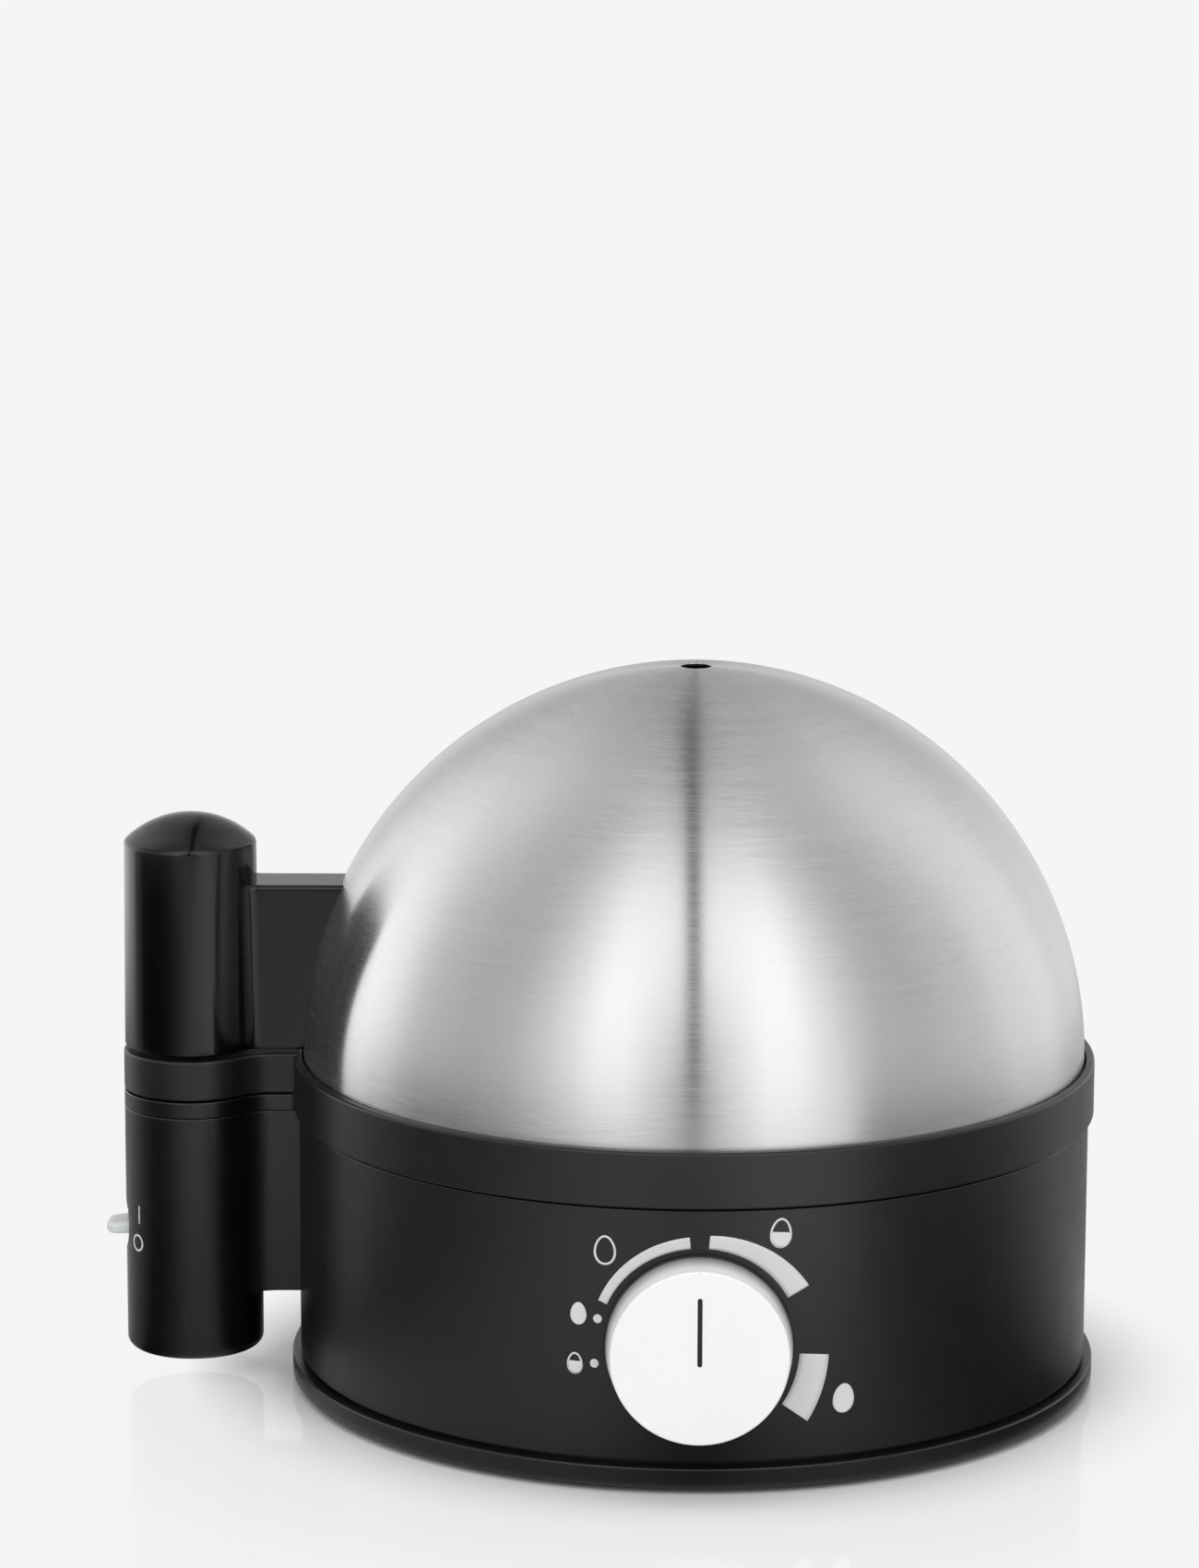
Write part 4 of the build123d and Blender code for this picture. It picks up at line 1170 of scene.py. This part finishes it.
@dataclass
class Lid:
    """Half-round dome with its steam hole, and its grip."""

    plan: HandlePlan = field(default_factory=HandlePlan)
    radius: float = 91.6
    steel: float = 0.8
    low: float = 72.9
    centre: float = 78.0
    vent: float = 3.55
    vent_lip: float = 0.15
    vent_start: float = 0.004
    vent_under: float = 0.9
    sunk: float = 0.12
    grip_low: float = 79.5
    grip_edge: float = 0.5
    grip_steps: int = 26
    foot_radius: float = 15.8
    head_radius: float = 15.45
    head_rows: Pair = (121.0, 124.0)
    crease: float = 128.0
    rise: float = 6.4
    crease_edge: float = 1.6
    web_high: float = 118.6
    web_edge: float = 1.1
    blend: float = 5.0
    core: tuple[float, ...] = (13.05, 78.0, 124.5, 1.5)

    def dome(self) -> None:
        """Steel shell with a rolled foot and a rounded steam hole."""
        inner, foot, lip = self.radius - self.steel, self.steel / 2, self.vent_lip
        start = pi / 2 - asin(self.vent / self.radius) - self.vent_start
        top = self.centre + sqrt(self.radius**2 - self.vent**2)
        under = pi / 2 - asin((self.vent + self.vent_under) / inner)
        profile = arc((self.radius - foot, self.low + foot), foot, -pi, 0, 8)
        profile += arc((0, self.centre), self.radius, 0, start, 150)
        profile += arc((self.vent + lip, top - lip), lip, pi / 2, pi, 5)
        profile += arc((0, self.centre), inner, under, 0, 90)
        settle(smooth(lathe(profile, 320).build("dome_shell")), DOME, Body.LID, Slot.DOME, "lid_dome")

    def web_row(self, height: float, inset: float = 0.0, post_inset: float = 0.0) -> PlanRow:
        """Row round the tapered post and the web, which ends just inside the dome.

        Args:
            height: Height of the row.
            inset: How far the web's sides stand back.
            post_inset: How far the post and the blend stand back.

        Returns:
            The row.
        """
        body = sqrt((self.radius - self.sunk)**2 - max(0.0, height - self.centre)**2)
        radius, half = self.taper(height) - post_inset, self.plan.half - inset
        return (radius, half, self.blend + post_inset, body, height)

    def taper(self, height: float) -> float:
        """Radius of the tapered post at a height."""
        share = (height - self.grip_low) / (self.crease - self.grip_low)
        return self.foot_radius + (self.head_radius - self.foot_radius) * share

    def grip(self) -> None:
        """Tapered post with a domed cap, and the web that fits the dome."""
        web = [self.web_row(self.grip_low + rise, inset, inset) for inset, rise in edge_rows(self.grip_edge)]
        start = self.grip_low + self.grip_edge
        length = self.web_high - self.web_edge - start
        web += [self.web_row(start + length * k / self.grip_steps) for k in range(1, self.grip_steps)]
        web += [self.web_row(self.web_high - rise, inset)
                for inset, rise in reversed(edge_rows(self.web_edge))]
        post = [(self.taper(z), z) for z in (self.web_high, *self.head_rows)] + self.cap()
        piece = self.plan.post_and_web(web, post).build("lid_grip")
        carve(piece, rod(*self.core).moved(self.plan.place()))
        settle(smooth(piece, 40), GLOSS, Body.LID, Slot.GLOSS, "lid_handle")

    def cap(self) -> list[Pair]:
        """Rows over the crease and the domed cap.

        Returns:
            (radius, height) of each row, up to the tip.
        """
        apex = self.crease + self.rise
        ball = (self.head_radius**2 + self.rise**2) / (2 * self.rise)
        edge = self.crease_edge
        side = self.head_radius - edge
        drop = sqrt((ball - edge)**2 - side**2)
        turn = atan2(drop, side)
        rows = arc((side, apex - ball + drop), edge, 0, turn, 8)
        rows += arc((0, apex - ball), ball, turn, pi / 2, 28)[1:]
        return rows[:-1] + [(0.0, apex)]


# Print and knob


@dataclass
class Skin:
    """The round face that signs are printed on."""

    centre: Pair
    radius: float
    height: float
    lift: float = 0.05
    thick: float = 0.09

    def at(self, u: float, v: float) -> Point:
        """Point at an arc length to the right of the front and a height."""
        turn, reach = u / self.radius, self.radius + self.lift
        return (self.centre[0] + reach * sin(turn), self.centre[1] - reach * cos(turn), self.height + v)

    def patch(self, rows: list[list[Pair]]) -> Shell:
        """A sheet through rows of (u, v) points.

        Args:
            rows: Rows of the same length.

        Returns:
            The sheet.
        """
        shell = Shell()
        shell.bridge_all([[self.at(u, v) for u, v in row] for row in rows], closed=False)
        return shell

    def print(self, sheet: Shell, name: str) -> None:
        """Make a sheet into a thin printed piece on the base.

        Args:
            sheet: The sheet.
            name: Name of the piece.
        """
        piece = sheet.build(name)
        middle = axis_place() @ Vector((self.centre[0] * MM, self.centre[1] * MM, 0))
        out = piece.data.polygons[0]
        away = Vector((out.center.x - middle.x, out.center.y - middle.y, 0))
        if out.normal.dot(away) < 0:
            piece.data.flip_normals()
        for face in piece.data.polygons:
            face.use_smooth = True
        step = piece.modifiers.new("thickness", "SOLIDIFY")
        step.thickness = self.thick * MM
        step.offset = -1.0
        settle(piece, PRINT, Body.BASE, Slot.WHITE)


@dataclass(frozen=True)
class Egg:
    """A printed egg, its middle at (u, v)."""

    u: float
    v: float
    width: float
    height: float
    lean: float = 0.0
    stroke: float = 0.5
    point: float = 0.13

    def spot(self, x: float, y: float) -> Pair:
        """A point of the egg, leaned and put in its place."""
        turn = -radians(self.lean)
        return (self.u + x * cos(turn) - y * sin(turn), self.v + x * sin(turn) + y * cos(turn))

    def outline(self, skin: Skin, steps: int = 48) -> Shell:
        """The egg as a line.

        Args:
            skin: The face it is printed on.
            steps: Chords round it.

        Returns:
            The sheet.
        """
        rows = []
        for k in range(steps + 1):
            t = 2 * pi * k / steps
            sizes = [(self.width / 2 - inset, self.height / 2 - inset)
                     for inset in (0.0, self.stroke / 2, self.stroke)]
            rows.append([self.spot(half * cos(t) * (1 - self.point * sin(t)), tall * sin(t))
                         for half, tall in sizes])
        return skin.patch(rows)

    def filled(self, skin: Skin, high: float = 1.0, steps: int = 24) -> Shell:
        """The egg filled from below up to a share of its half height.

        Args:
            skin: The face it is printed on.
            high: The share, from -1 to 1.
            steps: Rows of the sheet.

        Returns:
            The sheet.
        """
        rows = []
        for k in range(steps + 1):
            share = (high + 1) * k / steps - 1
            s = sin(share * pi / 2) if high == 1.0 else share
            half = max(self.width / 2 * sqrt(max(0.0, 1 - s * s)) * (1 - self.point * s), 0.01)
            rows.append([self.spot(half * (j / 4 - 1), self.height / 2 * s) for j in range(9)])
        return skin.patch(rows)


@dataclass(frozen=True)
class ArcSign:
    """A printed arc round the knob, between two angles in degrees, whose radii may swell."""

    name: str
    start: float
    end: float
    inner: Pair
    outer: Pair
    steps: int = 48
    parts: int = 5

    def rows(self) -> list[list[Pair]]:
        """Points of the arc from its start to its end.

        Returns:
            Rows of (u, v) points, from the inside outwards.
        """
        rows = []
        for k in range(self.steps + 1):
            share = k / self.steps
            turn = radians(self.start + (self.end - self.start) * share)
            low, high = (ends[0] + (ends[1] - ends[0]) * share for ends in (self.inner, self.outer))
            radii = [low + (high - low) * j / self.parts for j in range(self.parts + 1)]
            rows.append([(radius * sin(turn), radius * cos(turn)) for radius in radii])
        return rows


@dataclass
class Dial:
    """Knob, its pointer and the printed scale round it."""

    height: float = 33.8
    wall_radius: float = 92.75
    back: float = 93.6
    front: float = 102.2
    back_radius: float = 20.75
    front_radius: float = 19.75
    edge: float = 0.55
    back_edge: float = 0.15
    inner_radius: float = 17.75
    face: float = 2.0
    hub_radius: float = 5.5
    hub_back: float = 2.9
    pointer_length: float = 15.65
    pointer_tail: float = 1.85
    pointer_width: float = 1.1
    pointer_play: float = 0.04
    pointer_sunk: float = 0.08
    groove: float = 0.8
    nick_size: Pair = (0.6, 0.8)
    nick: float = 0.5
    cut_past: float = 1.0
    arcs: tuple[ArcSign, ...] = (ArcSign("arc_soft", -66.5, -5.0, (22.35, 22.35), (24.5, 25.0)),
                                 ArcSign("arc_medium", 5.2, 61.7, (22.35, 22.35), (25.4, 27.8)),
                                 ArcSign("arc_hard", 96.0, 126.5, (22.6, 23.1), (29.4, 30.4)))
    soft: Egg = Egg(-21.0, 21.3, 5.0, 6.8)
    medium: Egg = Egg(18.0, 25.5, 4.93, 6.87, lean=4.0)
    medium_fill: float = 0.06
    hard: Egg = Egg(32.9, -13.5, 5.04, 6.73, lean=5.0)
    full: Egg = Egg(-27.0, 6.4, 3.7, 5.1)
    small: Egg = Egg(-27.8, -5.1, 3.66, 5.0, stroke=0.45)
    small_fill: float = 0.2
    dots: tuple[Egg, ...] = (Egg(-22.6, 5.5, 2.0, 2.0, point=0.0), Egg(-23.3, -4.8, 2.0, 2.0, point=0.0))

    def knob(self) -> None:
        """Hollow knob with a rounded front edge, the pointer's groove and a nick in its rim."""
        inner, hub = self.front - self.face, self.back + self.hub_back
        profile = rounded([(0, self.front), (self.front_radius, self.front, self.edge),
                           (self.back_radius, self.back, self.back_edge), (self.inner_radius, self.back),
                           (self.inner_radius, inner), (self.hub_radius, inner), (self.hub_radius, hub),
                           (0, hub)])
        piece = lathe(profile, 240).moved(dial_place(self.height)).build("knob_shell")
        past = self.front + self.cut_past
        groove = self.pointer_bar(0.0, past)
        nick = slab(*self.nick_size, self.front - self.nick, past)
        groove.add(nick.moved(shift(0, self.front_radius)))
        carve(piece, groove.moved(dial_place(self.height)))
        settle(smooth(piece), WHITE, Body.KNOB, Slot.WHITE, "control_knob")

    def pointer_bar(self, play: float, high: float) -> Shell:
        """Bar with round ends from the groove's floor up to a height."""
        made = stadium(self.pointer_length - play, self.pointer_width - play, self.front - self.groove, high)
        return made.moved(shift(0, self.pointer_length / 2 - self.pointer_tail))

    def pointer(self) -> None:
        """Black bar with round ends, sunk in the knob's face."""
        made = self.pointer_bar(self.pointer_play, self.front - self.pointer_sunk)
        piece = made.moved(dial_place(self.height)).build("pointer_bar")
        settle(smooth(piece), POINTER, Body.KNOB, Slot.POINTER, "knob_pointer")

    def scale(self) -> None:
        """Three swelling arcs, three eggs and the two memory signs, printed on the housing."""
        skin = Skin((0, 0), self.wall_radius, self.height)
        for sign in self.arcs:
            skin.print(skin.patch(sign.rows()), sign.name)
        skin.print(self.soft.outline(skin), "egg_soft")
        skin.print(self.medium.outline(skin), "egg_medium")
        skin.print(self.medium.filled(skin, self.medium_fill), "egg_medium_fill")
        skin.print(self.hard.filled(skin), "egg_hard")
        skin.print(self.full.filled(skin), "egg_small_full")
        skin.print(self.small.outline(skin), "egg_small")
        skin.print(self.small.filled(skin, self.small_fill), "egg_small_fill")
        for dot, name in zip(self.dots, ("dot_upper", "dot_lower")):
            skin.print(dot.filled(skin), name)


# Stage


@dataclass
class Tent:
    """Cloth from white to black round the object, seen only in reflections.

    Lengths are in metres. Angles are in degrees: turns from the front, rises from the object's middle.
    """

    low: float = 0.0015
    rings: Pair = (0.097, 0.3)
    radius: float = 2.5
    height: float = 0.08
    segments: int = 64
    steps: int = 16
    peak: float = 0.01
    middle: Pair = (-0.1, 0.1)
    overhead: Pair = (0.0, 0.5)
    rear: Pair = (0.45, 1.0)
    high_stops: Stops = ((0, 1.95), (29, 1.95), (38, 1.45), (47, 1.05), (56, 0.76), (68, 0.64), (88, 0.78),
                         (106, 1.12), (122, 1.24), (140, 0.90), (158, 0.60), (180, 0.55))
    low_stops: Stops = ((0, 1.25), (20, 1.15), (31, 0.85), (41, 0.42), (51, 0.12), (60, 0.03), (74, 0.06),
                        (88, 0.30), (100, 0.50), (114, 0.55), (128, 0.38), (150, 0.45), (180, 0.50))
    steep: Pair = (-36, -16)
    steep_share: float = 0.30
    steep_sides: Pair = (60, 90)
    soft: Pair = (2, 24)
    soft_share: float = 0.70
    soft_lift: float = 0.45
    left_start: Pair = (85, 105)
    left_end: Pair = (135, 155)
    left_rise: Pair = (16, 42)
    left_least: float = 0.1
    left_gain: float = 1.4
    front_rise: Pair = (-7, -3)
    side_rise: Pair = (-11, -7)
    sides: Pair = (35, 65)
    roof_rise: Pair = (50, 84)
    roof: float = 0.62
    streak: float = 0.014
    core: Pair = (0.6, 3.0)
    wide: Pair = (2.5, 20.0)
    wide_least: float = 0.08
    wide_rise: Pair = (-2, 36)
    back: Pair = (1, 8)
    back_least: float = 0.5
    reach: float = HandlePlan.reach * MM
    flat: Pair = (0.004, 0.010)
    near_end: Pair = (0.30, 0.33)
    far_end: Pair = (0.64, 0.74)
    near_start: Pair = (-84, -74)
    near_side: Pair = (-0.055, -0.015)
    near_lift: Pair = (0.10, 0.22)
    near_gain: float = 1.7
    near_stops: Stops = ((-80, 0.16), (-66, 0.05), (-53, 0.04), (-39, 0.08), (-27, 0.18), (-14, 0.38),
                         (-2, 0.48), (10, 0.52), (23, 0.48), (35, 0.38), (48, 0.15), (60, 0.02))
    far_turns: tuple[Pair, Pair] = ((-112, -104), (62, 68))
    far_stops: Stops = ((-112, 0.80), (-100, 0.50), (-83, 0.06), (-67, 0.03), (-53, 0.04), (-40, 0.08),
                        (-27, 0.20), (-14, 0.44), (-2, 0.79), (10, 1.13), (23, 1.37), (35, 1.50), (50, 1.36),
                        (56, 0.10), (70, 0.03))

    def hang(self) -> None:
        """Round floor cloth, and a half-round cloth above it."""
        profile = [(radius, self.low) for radius in (*self.rings, self.radius)]
        profile += arc((0, self.height), self.radius, 0, pi / 2, self.steps)[:-1]
        profile += [(self.peak, self.height + self.radius)]
        shell = lathe(profile, self.segments, closed=False)
        mesh = bpy.data.meshes.new("light_tent")
        mesh.from_pydata(shell.points, [], shell.faces)
        mesh.flip_normals()
        mesh.materials.append(self.cloth())
        tent = show("light_tent", mesh)
        tent.location = axis_place().translation
        tent.visible_camera = False
        tent.visible_diffuse = False
        tent.visible_transmission = False
        tent.visible_shadow = False

    def cloth(self) -> bpy.types.Material:
        """Cloth that glows inwards, by the direction from the object.

        Returns:
            The material.
        """
        made, graph = new_material("tent_cloth")
        unit = graph.node("ShaderNodeVectorMath", operation="NORMALIZE")
        x, y, z = graph.axes(graph.fed(unit, graph.place((0, 0, self.height))))
        turn = graph.math("ARCTAN2", graph.math("ABSOLUTE", x), y * -1.0)
        rise = graph.math("ARCSINE", z)
        glow = graph.mix(graph.fade(rise, self.roof_rise), self.walls(graph, x, turn, rise), self.roof)
        glow = self.handle_floor(graph, glow * self.dark_line(graph, x, y, rise))
        inward = graph.out(graph.node("ShaderNodeNewGeometry"), "Backfacing")
        light = graph.add("ShaderNodeEmission", Strength_=glow)
        cloth = graph.layer(inward, light, graph.add("ShaderNodeBsdfTransparent"))
        graph.node("ShaderNodeOutputMaterial", Surface_=cloth)
        return made

    def walls(self, graph: Graph, x: Value, turn: Value, rise: Value) -> Value:
        """Brightness of the floor cloth and of the walls above it.

        Args:
            graph: The cloth's node tree.
            x: Direction to the right.
            turn: Angle from the front, to either side.
            rise: Angle upwards.

        Returns:
            The brightness.
        """
        steep = graph.fade(rise, self.steep, self.steep_share)
        low = graph.ramp(turn, self.low_stops) * graph.mix(graph.fade(turn, self.steep_sides), steep, 1.0)
        high = graph.ramp(turn, self.high_stops)
        high = graph.mix(graph.fade(rise, self.soft), high * self.soft_share + self.soft_lift, high)
        left = graph.fade(turn, self.left_start) * graph.span(x, *self.middle, 1, 0)
        left = left * graph.fade(turn, self.left_end, 1, 0)
        left = left * graph.fade(rise, self.left_rise, 1, self.left_least)
        high = high * graph.mix(left, 1.0, self.left_gain)
        upper = graph.mix(graph.fade(turn, self.sides), graph.fade(rise, self.front_rise),
                          graph.fade(rise, self.side_rise))
        return graph.mix(upper, low, high)

    def dark_line(self, graph: Graph, x: Value, y: Value, rise: Value) -> Value:
        """The gap between two cloths, which the dome shows as its narrow dark streak.

        Args:
            graph: The cloth's node tree.
            x: Direction to the right.
            y: Direction to the back.
            rise: Angle upwards.

        Returns:
            The share of the brightness that is left.
        """
        aside = graph.math("ABSOLUTE", graph.math("ARCSINE", x + self.streak))
        wide = graph.mix(graph.fade(rise, self.wide_rise), graph.fade(aside, self.wide, self.wide_least), 1.0)
        back = graph.mix(graph.span(y, *self.overhead), 1.0, graph.fade(aside, self.back, self.back_least))
        dark = graph.fade(aside, self.core) * wide * back
        return graph.mix(graph.span(y, *self.rear), dark, 1.0)

    def handle_floor(self, graph: Graph, glow: Value) -> Value:
        """Paint the floor cloth before the handles, which mirror little else.

        Args:
            graph: The cloth's node tree.
            glow: Brightness of the rest of the cloth.

        Returns:
            The brightness with this part in it.
        """
        x, y, z = graph.axes(graph.place())
        aside = x + self.reach
        turn = graph.math("ARCTAN2", aside, y * -1.0)
        away = graph.root(aside, y)
        flat = graph.span(z, *self.flat, 1, 0)
        near = flat * graph.span(away, *self.near_end, 1, 0) * graph.fade(turn, self.near_start)
        near = near * graph.span(x, *self.near_side, 1, 0)
        level = graph.ramp(turn, self.near_stops, -180) * graph.span(away, *self.near_lift, 1, self.near_gain)
        glow = graph.mix(near, glow, level)
        far = flat * graph.span(away, *self.near_end) * graph.span(away, *self.far_end, 1, 0)
        far = far * graph.fade(turn, self.far_turns[0]) * graph.fade(turn, self.far_turns[1], 1, 0)
        return graph.mix(far, glow, graph.ramp(turn, self.far_stops, -180))


@dataclass
class Studio:
    """Floor, white surroundings, lamps and camera, in metres."""

    backdrop: float = 0.913
    ambient: float = 0.40
    table_size: float = 4.0
    table_tone: float = 0.90
    table_roughness: float = 0.06
    table_gloss: Pair = (0.14, 0.05)
    gloss_ends: tuple[Pair, Pair] = ((0.118, 0.160), (0.25, 0.60))
    shadow_end: Pair = (0.097, 0.120)
    behind: float = 0.75
    aim: Point = (0.0, 0.0, 0.08)
    lights: tuple[tuple[str, Point, Pair, float], ...] = (
        ("soft_left", (-0.70, -1.25, 1.00), (0.85, 1.30), 9.6),
        ("soft_right", (0.70, -1.25, 1.00), (0.85, 1.30), 9.6),
        ("soft_top", (0.0, 0.35, 1.9), (1.6, 1.2), 16.0))
    lens: float = 125.9
    sensor: float = 36.0
    clip_end: float = 50.0
    eye: Point = (0.000015, -1.249035, 0.39304)
    eye_right: Point = (0.9999956, 0.000925, 0.0028155)
    eye_back: Point = (0.00035, -0.98042, 0.19690)

    def world(self) -> None:
        """White for the camera and for reflections, a plain level for the rest."""
        world = bpy.data.worlds.new("studio")
        bpy.context.scene.world = world
        world.use_nodes = True
        graph = Graph(world.node_tree)
        light = graph.add("ShaderNodeBackground", Color_=(1, 1, 1, 1), Strength_=self.ambient)
        shine = graph.add("ShaderNodeBackground", Color_=(*[self.backdrop] * 3, 1), Strength_=1.0)
        graph.node("ShaderNodeOutputWorld", Surface_=graph.layer(graph.shown(), light, shine))

    def floor(self) -> None:
        """Pale table top that takes the shadow and a faint reflection."""
        size = self.table_size
        mesh = bpy.data.meshes.new("table_top")
        mesh.from_pydata([(-size, -size, 0), (size, -size, 0), (size, size, 0), (-size, size, 0)], [],
                         [(0, 1, 2, 3)])
        made, graph = new_material("table_white")
        length = graph.node("ShaderNodeVectorMath", operation="LENGTH")
        graph.fed(length, graph.place(axis_place().translation))
        away = graph.out(length, "Value")
        near, far = self.gloss_ends
        mirror = graph.span(away, *near, *self.table_gloss) * graph.span(away, *far, 1, 0)
        lost = graph.math("SUBTRACT", self.backdrop, mirror * self.behind)
        tone = lost / graph.math("SUBTRACT", 1.0, mirror)
        matt = graph.add("ShaderNodeBsdfDiffuse", Color_=(*[self.table_tone] * 3, 1))
        glow = graph.add("ShaderNodeEmission", Color_=tone, Strength_=1.0)
        lit = graph.layer(graph.shown() * graph.span(away, *self.shadow_end), matt, glow)
        gloss = graph.add("ShaderNodeBsdfGlossy", Color_=(1, 1, 1, 1), Roughness_=self.table_roughness)
        graph.node("ShaderNodeOutputMaterial", Surface_=graph.layer(mirror, lit, gloss))
        mesh.materials.append(made)
        show("table_top", mesh)

    def lamp(self, name: str, place: Point, size: Pair, power: float) -> None:
        """Add a rectangular soft lamp that looks at the object.

        Args:
            name: Name of the lamp.
            place: Where it stands.
            size: Width and height.
            power: Strength in watts.
        """
        data = bpy.data.lights.new(name, "AREA")
        data.shape = "RECTANGLE"
        data.size, data.size_y = size
        data.energy = power
        lamp = show(name, data)
        lamp.location = place
        lamp.rotation_euler = (Vector(self.aim) - Vector(place)).to_track_quat("-Z", "Y").to_euler()
        lamp.visible_glossy = False

    def lamps(self) -> None:
        """Two tall soft lamps beside the camera and one overhead."""
        for light in self.lights:
            self.lamp(*light)

    def camera(self) -> None:
        """Camera at the photograph's viewing angle."""
        data = bpy.data.cameras.new("camera")
        data.sensor_fit = "VERTICAL"
        data.sensor_height = self.sensor
        data.lens = self.lens
        data.clip_end = self.clip_end
        right, back = Vector(self.eye_right), Vector(self.eye_back).normalized()
        up = back.cross(right).normalized()
        camera = show("camera", data)
        camera.matrix_world = shift(*self.eye) @ Matrix((right, up, back)).transposed().to_4x4()
        bpy.context.scene.camera = camera


def main() -> None:
    """Build the looks piece by piece, then the stage."""
    logging.basicConfig(level=logging.INFO, format="%(name)s: %(message)s")
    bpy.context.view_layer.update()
    dress_nodes()
    body, handle, lid, dial, studio = RoundBody(), SwitchHandle(), Lid(), Dial(), Studio()
    body.floor()
    body.housing()
    body.seat()
    handle.shell()
    handle.cover()
    Rocker().paddle()
    handle.signs()
    Carrier().collar()
    lid.dome()
    lid.grip()
    dial.knob()
    dial.pointer()
    dial.scale()
    studio.world()
    studio.floor()
    studio.lamps()
    Tent().hang()
    studio.camera()
    bpy.context.scene.view_settings.view_transform = "Standard"


if __name__ == "__main__":
    main()
